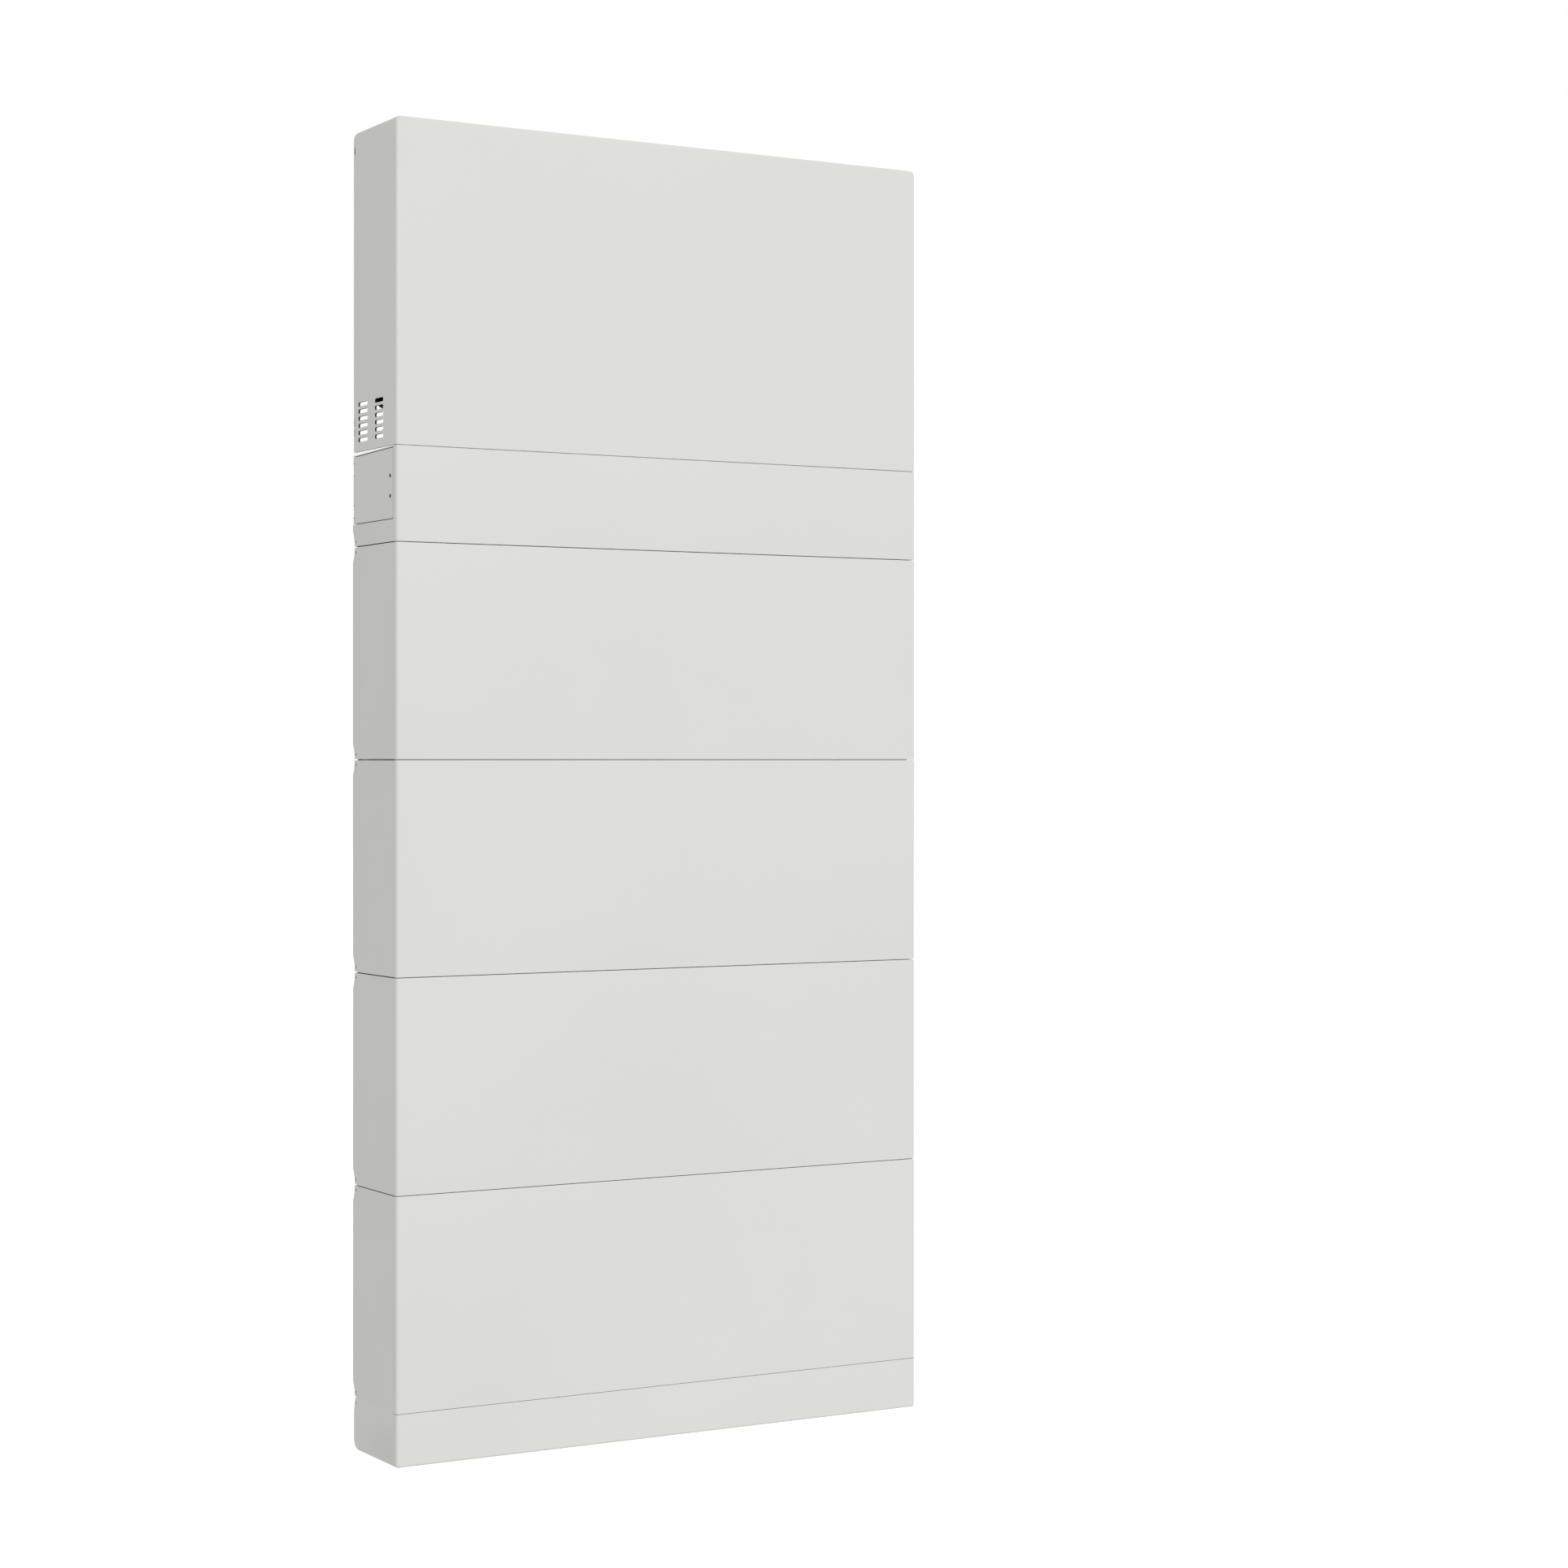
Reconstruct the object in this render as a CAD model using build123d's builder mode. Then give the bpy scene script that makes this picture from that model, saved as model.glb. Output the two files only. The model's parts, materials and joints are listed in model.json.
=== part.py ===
from build123d import *
import os

os.makedirs("parts", exist_ok=True)

# Slim wall battery unit: a base, four stacked battery modules, a controller and an inverter,
# carried by two wall brackets.  +Z is up, the front faces -Y, the wall plane is Y = 0, and the
# origin is the centre of the lower wall bracket's bolt pattern.  Lengths are in millimetres.

# ---- overall sizes ---------------------------------------------------------------------------
width = 750.0
depth = 134.0
base_height = 65.0
module_pitch = 266.0
module_count = 4
controller_height = 118.0
inverter_height = 401.0
wall_gap = 6.0
inverter_setback = 2.8
pattern_above_bottom = 34.0

# ---- sheet, covers and seams -----------------------------------------------------------------
sheet = 2.0
cover_return = 8.0
cover_gap = 0.4
cover_fit = 0.3
bend_radius = 3.5
front_seam = 0.8
side_seam = 1.4
base_seam = 0.4
cover_top_radius = 1.4
cover_bottom_radius = 0.8
casting_wall = 3.0
top_end_radius = 13.0
base_end_radius = 14.0
base_front_radius = 3.0
inverter_corner_radius = 7.0

# ---- tie plates at the rear edges ------------------------------------------------------------
scoop_depth = 2.4
scoop_length = 11.0
scoop_half_height = 20.0
tie_plate_depth = 7.0
tie_plate_thickness = 1.6
tie_plate_length = 9.5
tie_plate_height = 30.0
tie_plate_clearance = 0.1
tie_plate_rear_gap = 0.5
tie_screw_radius = 1.5
tie_head_radius = 1.9
tie_head_height = 1.0
tie_head_seat = 3.2
tie_screw_length = 8.0
tie_screw_offset = 6.5
tie_screw_from_rear = 4.8
screw_clearance = 0.05
post_size = 15.0

# ---- seam gaskets ----------------------------------------------------------------------------
gasket_inset = 10.5
gasket_width = 6.0

# ---- battery insides -------------------------------------------------------------------------
cell_count = 16
cell_gap = 1.0
cell_end_room = 78.0
cell_depth_room = 26.0
cell_head_room = 61.0
cell_floor_gap = 5.0
terminal_radius = 7.0
terminal_height = 3.0
terminal_spread = 0.6
busbar_thickness = 2.0
busbar_width = 20.0
end_plate_thickness = 5.0
bms_thickness = 1.6
bms_head_room = 96.0
bms_component_height = 9.0
bms_rows = 3
socket_width = 22.0
socket_share = 0.58
socket_depth = 16.0
plug_wall = 4.0
plug_clearance = 1.0
opening_clearance = 1.0

# ---- controller door -------------------------------------------------------------------------
door_above_seam = 28.8
door_front_inset = 11.0
door_top_gap = 3.0
door_top_slope = 3.0
door_thickness = 2.2
door_clearance = 1.0
door_corner_radius = 1.5
bay_wall = 7.0
jamb_recess = 3.8
jamb_rail = 4.3
seal_thickness = 1.5
seal_width = 2.4
seal_gap = 0.1
lip_gap = 0.15
lip_below_face = 0.5
hinge_radius = 2.5
hinge_clearance = 0.5
hinge_ear_gap = 0.2
hinge_end_room = 33.7
hinge_ear_height = 14.6
hinge_end_clearance = 1.0
pin_radius = 1.2
pin_clearance = 0.05
pin_length = 26.0
washer_inset = 0.1
washer_gap = 0.1
latch_from_front = 18.4
latch_shares = (0.392, 0.68)
latch_head_radius = 2.6
latch_head_height = 0.9
latch_shaft_radius = 2.0
latch_clearance = 0.05
latch_cam_length = 6.4
latch_cam_width = 4.0
latch_cam_thickness = 2.0
bay_depth = 110.0
device_depth = 52.0
terminal_step = 10.0
terminal_rows = 6
terminal_screw_radius = 2.6
lever_hub_radius = 5.0
lever_hub_depth = 3.0
lever_gap = 0.5
lever_width = 8.0
lever_length = 16.0
lever_thickness = 4.0
lever_lift = 30.0
lever_slot_half_height = 12.0
breaker_width = 36.0
standoff_height = 6.0
tall_component = 14.0
low_component = 8.0
contactor_width = 54.0
contactor_height = 62.0
stud_radius = 5.0
wire_hole_radius = 15.0
wire_hole_x = 120.0

# ---- controller side panel -------------------------------------------------------------------
panel_recess = 16.0
panel_margin = 10.0
panel_from_front = 14.0
panel_from_tie_plate = 2.0
isolator_half_size = 18.0
isolator_depth = 34.0
panel_fit = 0.2
knob_radius = 15.0
knob_base_height = 4.0
knob_grip_height = 14.0
knob_grip_width = 8.0
knob_shaft_radius = 3.0
button_radius = 6.5
button_proud = 3.5
button_travel = 2.0
button_clearance = 0.1
gland_bore_radius = 8.0
gland_neck_radius = 10.0
gland_hex_radius = 13.0
gland_dome_radius = 11.0
gland_nut_radius = 12.5
gland_outer_length = 13.0
gland_nut_length = 6.0
pv_radius = 6.0
pv_flange_radius = 8.0
pv_length = 12.0
pv_pin_radius = 1.6

# ---- inverter --------------------------------------------------------------------------------
slot_height = 5.4
slot_pitch = 8.9
slot_rows = 6
slot_first = 14.5
slot_columns = ((0.294, 0.194), (0.657, 0.216))
hook_slot_below_top = 24.0
hook_slot_height = 10.5
hook_slot_width = 2.4
clip_slot_heights = (25.0, 37.0)
clip_slot_height = 8.4
clip_slot_width = 1.6
trim_thickness = 1.0
trim_front_height = 0.3
trim_rear_height = 4.0
fan_share = 0.284
fan_thickness = 25.0
fan_middle_share = 0.32
fan_rim = 4.0
fan_wall_gap = 1.5
spider_thickness = 3.0
spider_half_width = 2.5
fan_above_bottom = 85.5
fan_hub_radius = 13.0
fan_blade_thickness = 1.6
fan_blade_chord = 20.0
fan_blade_pitch_angle = 38
fan_shaft_radius = 2.0
fan_blade_count = 7
fan_running_gap = 0.6
sink_side_room = 75.0
sink_head_room = 71.0
sink_lift = 30.0
leg_half_width = 10.0
sink_base = 6.0
fin_length = 34.0
fin_thickness = 2.5
fin_pitch = 20.0
fin_from_rear = 3.0
board_gap = 8.0
board_thickness = 1.6
board_inset = 30.0
coil_stand = 5.0
coil_length = 40.0
can_length = 46.0
can_radius = 15.0

# ---- wall brackets ---------------------------------------------------------------------------
bracket_sheet = 3.0
lower_bracket_side_room = 95.0
lower_bracket_rise = 80.0
lower_hole_inset = 40.0
lower_pattern_z = 30.0
wall_hole_radius = 4.5
shelf_depth = 100.0
shelf_above_bottom = 8.0
deck_clearance = 0.5
deck_side_lift = 14.0
foot_half_width = 20.0
upper_bracket_side_room = 115.0
upper_bracket_half_height = 32.0
upper_hole_inset = 70.0
upper_pattern_z = 30.0
upper_bracket_below_top = 130.0
hook_thickness = 2.0
hook_rise = 10.0
hook_overlap = 8.0
hook_clearance = 0.5

# ---- places worked out from the sizes --------------------------------------------------------
right = width / 2
left = -right
rear = -wall_gap
front = rear - depth
bottom = -pattern_above_bottom
base_top = bottom + base_height
controller_bottom = base_top + module_count * module_pitch
inverter_bottom = controller_bottom + controller_height
top = inverter_bottom + inverter_height
inverter_rear = rear - inverter_setback
module_seams = [base_top + index * module_pitch for index in range(module_count)]
tied_seams = module_seams + [controller_bottom]
main_front = front + cover_return + cover_gap
middle_depth = (main_front + rear) / 2
connector_inset = panel_recess + sheet + socket_width / 2
connector_x = right - connector_inset
socket_length = socket_share * depth
door_height = controller_height - door_top_gap - door_above_seam
sink_half_width = width / 2 - sink_side_room
sink_height = inverter_height - sink_head_room
fan_radius = fan_share * depth
fan_blade_radius = fan_radius - fan_rim
lower_bracket_half_width = width / 2 - lower_bracket_side_room
upper_bracket_half_width = width / 2 - upper_bracket_side_room
lower_pattern_x = 2 * (lower_bracket_half_width - lower_hole_inset)
upper_pattern_x = 2 * (upper_bracket_half_width - upper_hole_inset)


def block(x_range, y_range, z_range, mode=Mode.ADD):
    """Box between two corners, joined to or cut from the part being made."""
    sizes = [span[1] - span[0] for span in (x_range, y_range, z_range)]
    centre = [(span[0] + span[1]) / 2 for span in (x_range, y_range, z_range)]
    with Locations(tuple(centre)):
        Box(*sizes, mode=mode)


def rod(centre, radius, length, axis, mode=Mode.ADD):
    """Cylinder about a centre point, along the X, Y or Z axis."""
    turn = {"X": (0, 90, 0), "Y": (90, 0, 0), "Z": (0, 0, 0)}[axis]
    with Locations(Location(centre, turn)):
        Cylinder(radius, length, mode=mode)


def side_plane(side, y, z):
    """Sketch plane on the left (-1) or right (+1) side, local x towards the wall."""
    return Plane(origin=(side * width / 2, y, z), x_dir=(0, 1, 0), z_dir=(side, 0, 0))


def save(part, name):
    """Label a finished piece and write it to its own file."""
    part.label = name
    export_step(part, f"parts/{name}.step")


def cut_tie_seats(seam):
    """Shallow scoops at both rear edges of a seam, with screw seats and slots for the tie plates."""
    scoop_radius = (scoop_half_height ** 2 + scoop_depth ** 2) / (2 * scoop_depth)
    slot_low = seam - tie_plate_height / 2 - tie_plate_clearance
    slot_high = seam + tie_plate_height / 2 + tie_plate_clearance
    for side in (-1, 1):
        rod((side * (right + scoop_radius - scoop_depth), rear - (scoop_length - sheet) / 2, seam),
            scoop_radius, scoop_length + sheet, "Y", Mode.SUBTRACT)
        slot_near = side * (right - tie_plate_depth + tie_plate_clearance)
        slot_far = side * (right - tie_plate_depth - tie_plate_thickness - tie_plate_clearance)
        block(sorted((slot_near, slot_far)), (rear - tie_plate_length - 2 * tie_plate_rear_gap, rear + sheet), (slot_low, slot_high),
              Mode.SUBTRACT)
        for offset in (-tie_screw_offset, tie_screw_offset):
            seat = (side * right, rear - tie_screw_from_rear, seam + offset)
            rod(seat, tie_head_radius + screw_clearance, 2 * tie_head_seat, "X", Mode.SUBTRACT)
            rod(seat, tie_screw_radius + screw_clearance, 2 * (tie_head_seat + tie_screw_length), "X",
                Mode.SUBTRACT)


def add_corner_posts(z_low, z_high):
    """Solid posts in the two rear corners, which take the tie screws."""
    for side in (-1, 1):
        outer = side * (width / 2 - sheet / 2)
        inner = side * (width / 2 - post_size)
        block(sorted((outer, inner)), (rear - post_size, rear - sheet / 2), (z_low, z_high))


def connector_opening(z_low, z_high):
    """Slot through a wall for the stacking connector."""
    half_width = socket_width / 2 + opening_clearance
    half_length = socket_length / 2 + opening_clearance
    block((connector_x - half_width, connector_x + half_width),
          (middle_depth - half_length, middle_depth + half_length), (z_low, z_high), Mode.SUBTRACT)


def front_cover(z_low, z_high):
    """Shallow folded pan that closes the front of a housing."""
    with BuildPart() as cover:
        block((left, right), (front, front + cover_return), (z_low, z_high))
        fillet(cover.edges().filter_by(Axis.Z).group_by(Axis.Y)[0], bend_radius)
        fillet(cover.faces().sort_by(Axis.Z)[-1].edges().sort_by(Axis.Y)[:-1], cover_top_radius)
        fillet(cover.faces().sort_by(Axis.Z)[0].edges().sort_by(Axis.Y)[:-1], cover_bottom_radius)
        block((left + sheet, right - sheet), (front + sheet, front + cover_return + sheet),
              (z_low + sheet, z_high - sheet), Mode.SUBTRACT)
    return cover.part


def add_neck(z_low, z_high):
    """Forward rim of a housing, which the front cover slips over."""
    reach = sheet + cover_fit
    block((left + reach, right - reach), (front + reach, main_front + sheet),
          (z_low + reach, z_high - reach))


# ---- battery modules -------------------------------------------------------------------------
def battery_housing(seam):
    """Open-fronted cast box with corner posts, pockets and connector openings."""
    z_low = seam + side_seam / 2
    z_high = seam + module_pitch - side_seam / 2
    reach = sheet + cover_fit
    with BuildPart() as housing:
        block((left, right), (main_front, rear), (z_low, z_high))
        add_neck(seam + front_seam / 2, seam + module_pitch - front_seam / 2)
        block((left + casting_wall, right - casting_wall), (main_front + casting_wall, rear - casting_wall),
              (z_low + casting_wall, z_high - casting_wall), Mode.SUBTRACT)
        inset = reach + sheet
        block((left + inset, right - inset), (front, main_front + 2 * casting_wall),
              (seam + front_seam / 2 + inset, seam + module_pitch - front_seam / 2 - inset), Mode.SUBTRACT)
        add_corner_posts(z_low + casting_wall / 2, z_high - casting_wall / 2)
        cut_tie_seats(seam)
        cut_tie_seats(seam + module_pitch)
        connector_opening(z_low - sheet, z_low + 2 * casting_wall)
        connector_opening(z_high - 2 * casting_wall, z_high + sheet)
    return housing.part


cell_pitch = (width - cell_end_room) / cell_count
cell_width = cell_pitch - cell_gap
cell_depth = depth - cell_depth_room
cell_height = module_pitch - cell_head_room
terminal_spacing = terminal_spread * cell_depth
bms_height = module_pitch - bms_head_room
row_length = cell_count * cell_pitch
row_start = left + post_size + 2 * end_plate_thickness
cell_rear = rear - casting_wall - sheet
cell_front = cell_rear - cell_depth
cell_middle = (cell_front + cell_rear) / 2


def cell_row(seam):
    """One row of prismatic cells, each with two round terminals on top."""
    floor = seam + side_seam / 2 + casting_wall + cell_floor_gap
    roof = floor + cell_height
    with BuildPart() as cells:
        for index in range(cell_count):
            x = row_start + index * cell_pitch
            block((x, x + cell_width), (cell_front, cell_rear), (floor, roof))
            for side in (-1, 1):
                rod((x + cell_width / 2, cell_middle + side * terminal_spacing / 2,
                     roof + terminal_height / 2), terminal_radius, terminal_height, "Z")
    return cells.part


def busbar_row(seam):
    """Links from each cell's terminal to the next, on alternate sides of the row."""
    floor = seam + side_seam / 2 + casting_wall + cell_floor_gap + cell_height + terminal_height
    with BuildPart() as links:
        for index in range(cell_count - 1):
            side = 1 if index % 2 else -1
            x = row_start + index * cell_pitch + cell_width / 2
            y = cell_middle + side * terminal_spacing / 2
            block((x - terminal_radius, x + cell_pitch + terminal_radius),
                  (y - busbar_width / 2, y + busbar_width / 2), (floor, floor + busbar_thickness))
    return links.part


def bms_board(seam):
    """Upright management board beside the cells, with relays and a heat spreader."""
    floor = seam + socket_depth + cell_floor_gap
    x = row_start + row_length + 2 * end_plate_thickness
    row_step = 0.28 * bms_height
    with BuildPart() as board:
        block((x, x + bms_thickness), (cell_front, cell_rear), (floor, floor + bms_height))
        for row in range(bms_rows):
            low = floor + (row + 0.4) * row_step
            block((x + bms_thickness, x + bms_thickness + bms_component_height),
                  (cell_front + 0.1 * cell_depth, cell_front + 0.4 * cell_depth), (low, low + 0.6 * row_step))
            block((x + bms_thickness, x + bms_thickness + bms_component_height / 2),
                  (cell_front + 0.5 * cell_depth, cell_rear - 0.1 * cell_depth), (low, low + 0.45 * row_step))
    return board.part


for index, seam in enumerate(module_seams):
    number = index + 1
    save(front_cover(seam + front_seam / 2, seam + module_pitch - front_seam / 2),
         f"battery_{number}_front_cover")
    save(battery_housing(seam), f"battery_{number}_housing")
    save(cell_row(seam), f"battery_{number}_cells")
    save(busbar_row(seam), f"battery_{number}_busbars")
    save(bms_board(seam), f"battery_{number}_bms_board")

with BuildPart() as cell_end_plates:
    for seam in module_seams:
        floor = seam + side_seam / 2 + casting_wall
        for x in (row_start - 1.5 * end_plate_thickness, row_start + row_length):
            block((x, x + end_plate_thickness), (cell_front, cell_rear),
                  (floor, floor + cell_floor_gap + cell_height))
save(cell_end_plates.part, "cell_end_plates")

with BuildPart() as module_sockets:
    for seam in tied_seams:
        roof = seam - front_seam / 2
        block((connector_x - socket_width / 2, connector_x + socket_width / 2),
              (middle_depth - socket_length / 2, middle_depth + socket_length / 2),
              (roof - socket_depth, roof))
        block((connector_x - socket_width / 2 + plug_wall, connector_x + socket_width / 2 - plug_wall),
              (middle_depth - socket_length / 2 + plug_wall, middle_depth + socket_length / 2 - plug_wall),
              (roof - socket_depth + plug_wall, roof), Mode.SUBTRACT)
save(module_sockets.part, "module_sockets")

with BuildPart() as module_plugs:
    for seam in tied_seams:
        face = seam - front_seam / 2 + plug_clearance
        reach = plug_wall + plug_clearance
        block((connector_x - socket_width / 2, connector_x + socket_width / 2),
              (middle_depth - socket_length / 2, middle_depth + socket_length / 2),
              (face, face + socket_depth))
        block((connector_x - socket_width / 2 + reach, connector_x + socket_width / 2 - reach),
              (middle_depth - socket_length / 2 + reach, middle_depth + socket_length / 2 - reach),
              (face - socket_depth + plug_wall + 2 * plug_clearance, face))
save(module_plugs.part, "module_plugs")

with BuildPart() as seam_gaskets:
    for seam in tied_seams:
        gasket_low = seam - side_seam / 2
        with BuildSketch(Plane.XY.offset(gasket_low)):
            with Locations((0, middle_depth)):
                Rectangle(width - 2 * gasket_inset, rear - main_front - 2 * gasket_inset)
                Rectangle(width - 2 * (gasket_inset + gasket_width),
                          rear - main_front - 2 * (gasket_inset + gasket_width), mode=Mode.SUBTRACT)
        extrude(amount=side_seam)
save(seam_gaskets.part, "seam_gaskets")

# ---- base ------------------------------------------------------------------------------------
base_side_top = base_top + side_seam / 2
base_front_top = base_top + front_seam / 2 - base_seam
with BuildPart() as base_cover:
    with BuildSketch(Plane.YZ.offset(left)):
        with BuildLine():
            Polyline((front + base_front_radius, bottom), (rear - base_end_radius, bottom))
            RadiusArc((rear - base_end_radius, bottom), (rear, bottom + base_end_radius), -base_end_radius)
            Polyline((rear, bottom + base_end_radius), (rear, base_side_top), (main_front, base_side_top),
                     (main_front, base_front_top), (front, base_front_top), (front, bottom + base_front_radius))
            RadiusArc((front, bottom + base_front_radius), (front + base_front_radius, bottom),
                      -base_front_radius)
        make_face()
    extrude(amount=width)
    fillet(base_cover.edges().filter_by(Axis.Z).group_by(Axis.Y)[0], bend_radius)
    block((left + sheet, right - sheet), (front + sheet, rear + sheet),
          (bottom + base_front_radius, base_side_top + sheet), Mode.SUBTRACT)
    block((left + sheet, right - sheet), (front + base_front_radius, rear + sheet),
          (bottom + sheet, bottom + 2 * base_front_radius), Mode.SUBTRACT)
    add_corner_posts(bottom + base_height / 2, base_top - side_seam / 2)
    cut_tie_seats(base_top)
save(base_cover.part, "base_cover")

shelf_top = bottom + shelf_above_bottom + bracket_sheet
deck_top = base_top - side_seam / 2
deck_half_width = width / 2 - post_size - deck_clearance
with BuildPart() as base_deck:
    block((-deck_half_width, deck_half_width), (front + 2 * sheet, rear - sheet),
          (shelf_top + deck_side_lift, deck_top))
    block((-deck_half_width + sheet, deck_half_width - sheet), (front + 3 * sheet, rear),
          (shelf_top, deck_top - sheet), Mode.SUBTRACT)
    for side in (-1, 1):
        foot = side * 0.75 * lower_bracket_half_width
        block((foot - foot_half_width, foot + foot_half_width), (rear - 0.7 * depth, rear - 0.1 * depth),
              (shelf_top, deck_top - sheet / 2))
    connector_opening(deck_top - 2 * sheet, deck_top + sheet)
save(base_deck.part, "base_deck")

# ---- controller ------------------------------------------------------------------------------
controller_low = controller_bottom + side_seam / 2
controller_high = inverter_bottom - front_seam / 2
save(front_cover(controller_bottom + front_seam / 2, controller_high), "controller_front_cover")

hinge_x = left + hinge_radius
hinge_y = rear - hinge_radius
door_front = front + door_front_inset
door_top_front = inverter_bottom - door_top_gap
door_top_rear = door_top_front - door_top_slope
door_bottom = door_top_front - door_height
door_inner = left + door_thickness
jamb_face = left + jamb_recess
bay_inner = left + bay_wall
hinge_middle = (door_bottom + door_top_rear) / 2
hinge_spacing = door_height - hinge_end_room
hinge_ear_radius = hinge_radius - hinge_ear_gap
hinge_stations = [hinge_middle - hinge_spacing / 2, hinge_middle + hinge_spacing / 2]
latch_y = front + latch_from_front
latch_drops = [door_top_gap + share * door_height for share in latch_shares]
latch_heights = [inverter_bottom - drop for drop in latch_drops]
window_front = door_front + jamb_rail - door_clearance
window_rear = hinge_y - 2 * hinge_radius - jamb_rail
window_low = door_bottom + 2 * jamb_rail
window_high = door_top_rear - 2 * jamb_rail
bay_back = left + bay_depth
panel_front = front + panel_from_front
panel_rear = rear - tie_plate_length - panel_from_tie_plate
panel_low = controller_low + panel_margin
panel_high = controller_high - panel_margin
panel_span = panel_rear - panel_front
panel_half = (panel_high - panel_low) / 2
window_span = window_rear - window_front
window_rise = window_high - window_low
panel_face = right - panel_recess
panel_back = panel_face - sheet
service_height = (panel_low + panel_high) / 2


def door_corners(margin):
    """Corners of the door in side view, grown outwards by a margin."""
    return [(door_front - margin, door_bottom - margin), (hinge_y, door_bottom - margin),
            (hinge_y, door_top_rear + margin), (door_front - margin, door_top_front + margin)]


trim_outline = [(main_front, controller_high), (rear, controller_high), (rear, controller_high - trim_rear_height),
                (main_front, controller_high - trim_front_height)]

with BuildPart() as seam_trims:
    for side in (-1, 1):
        with BuildSketch(Plane.YZ.offset(side * (right - trim_thickness / 2))):
            with BuildLine():
                Polyline(*trim_outline, close=True)
            make_face()
        extrude(amount=trim_thickness / 2, both=True)
save(seam_trims.part, "seam_trims")

with BuildPart() as controller_housing:
    block((left, right), (main_front, rear), (controller_low, controller_high))
    add_neck(controller_bottom + front_seam / 2, controller_high)
    block((bay_back + casting_wall, right - casting_wall), (main_front + casting_wall, rear - casting_wall),
          (controller_low + casting_wall, controller_high - casting_wall), Mode.SUBTRACT)
    block((bay_inner, bay_back), (main_front + casting_wall, rear - casting_wall),
          (controller_low + casting_wall, controller_high - casting_wall), Mode.SUBTRACT)
    neck_inset = 2 * sheet + cover_fit
    block((bay_back + casting_wall, right - neck_inset), (front, main_front + 2 * casting_wall),
          (controller_bottom + front_seam / 2 + neck_inset, controller_high - neck_inset), Mode.SUBTRACT)
    block((bay_inner, bay_back), (front, main_front + 2 * casting_wall),
          (controller_bottom + front_seam / 2 + neck_inset, controller_high - neck_inset), Mode.SUBTRACT)
    with BuildSketch(Plane.YZ.offset(left)):
        with BuildLine():
            Polyline(*door_corners(door_clearance), close=True)
        make_face()
    extrude(amount=jamb_recess, mode=Mode.SUBTRACT)
    block((left - sheet, hinge_x + hinge_radius + hinge_clearance),
          (hinge_y - hinge_radius - hinge_clearance, rear + sheet),
          (door_bottom - door_clearance, door_top_rear + door_clearance), Mode.SUBTRACT)
    block((left, bay_inner + sheet), (window_front, window_rear), (window_low, window_high), Mode.SUBTRACT)
    for station in hinge_stations:
        station_range = (station - hinge_ear_height / 2, station + hinge_ear_height / 2)
        rod((hinge_x, hinge_y, station), hinge_ear_radius, hinge_ear_height, "Z")
        block((hinge_x, hinge_x + 2 * casting_wall), (hinge_y - hinge_ear_radius / 2, hinge_y + hinge_ear_radius),
              station_range)
        rod((hinge_x, hinge_y, station), pin_radius + pin_clearance, pin_length, "Z", Mode.SUBTRACT)
    add_corner_posts(controller_low + casting_wall / 2, controller_low + scoop_half_height + casting_wall)
    cut_tie_seats(controller_bottom)
    connector_opening(controller_low - sheet, controller_low + 2 * casting_wall)
    block((panel_back, right + sheet), (panel_front, panel_rear), (panel_low, panel_high), Mode.SUBTRACT)
    for side in (-1, 1):
        with BuildSketch(Plane.YZ.offset(side * right)):
            with BuildLine():
                Polyline(*trim_outline, close=True)
            make_face()
        extrude(amount=trim_thickness, both=True, mode=Mode.SUBTRACT)
    for x in (-wire_hole_x, wire_hole_x):
        rod((x, middle_depth, controller_high), wire_hole_radius, 4 * casting_wall, "Z", Mode.SUBTRACT)
save(controller_housing.part, "controller_housing")

with BuildPart() as access_door:
    with BuildSketch(Plane.YZ.offset(left)):
        with BuildLine():
            Polyline(*door_corners(0), close=True)
        make_face()
    extrude(amount=door_thickness)
    fillet(access_door.edges().filter_by(Axis.X).group_by(Axis.Y)[0], door_corner_radius)
    rod((hinge_x, hinge_y, (door_bottom + door_top_rear) / 2), hinge_radius, door_top_rear - door_bottom, "Z")
    for rib in (0.36, 0.68):
        rib_y = window_front + rib * (window_rear - window_front)
        block((door_inner - sheet / 2, door_inner + sheet), (rib_y - sheet / 2, rib_y + sheet / 2),
              (window_low + jamb_rail, window_high - jamb_rail))
    rod((hinge_x, hinge_y, (door_bottom + door_top_rear) / 2), pin_radius + pin_clearance,
        door_height, "Z", Mode.SUBTRACT)
    for station in hinge_stations:
        half = hinge_ear_height / 2 + hinge_end_clearance
        block((left - sheet, hinge_x + 2 * hinge_radius), (hinge_y - hinge_radius - hinge_clearance, rear + sheet),
              (station - half, station + half), Mode.SUBTRACT)
    for height in latch_heights:
        rod((left + door_thickness / 2, latch_y, height), latch_shaft_radius + latch_clearance,
            2 * door_thickness, "X", Mode.SUBTRACT)
        rod((left, latch_y, height), latch_head_radius + latch_clearance, 2 * latch_head_height, "X", Mode.SUBTRACT)
save(access_door.part, "access_door")

with BuildPart() as door_hinge_pins:
    for station in hinge_stations:
        rod((hinge_x, hinge_y, station), pin_radius, pin_length, "Z")
save(door_hinge_pins.part, "door_hinge_pins")

with BuildPart() as door_hinge_washers:
    for station in hinge_stations:
        for side in (-1, 1):
            washer_z = station + side * (hinge_ear_height + hinge_end_clearance) / 2
            rod((hinge_x, hinge_y, washer_z), hinge_radius - washer_inset, hinge_end_clearance - washer_gap, "Z")
            rod((hinge_x, hinge_y, washer_z), pin_radius + pin_clearance, 2 * hinge_end_clearance, "Z", Mode.SUBTRACT)
save(door_hinge_washers.part, "door_hinge_washers")

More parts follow.
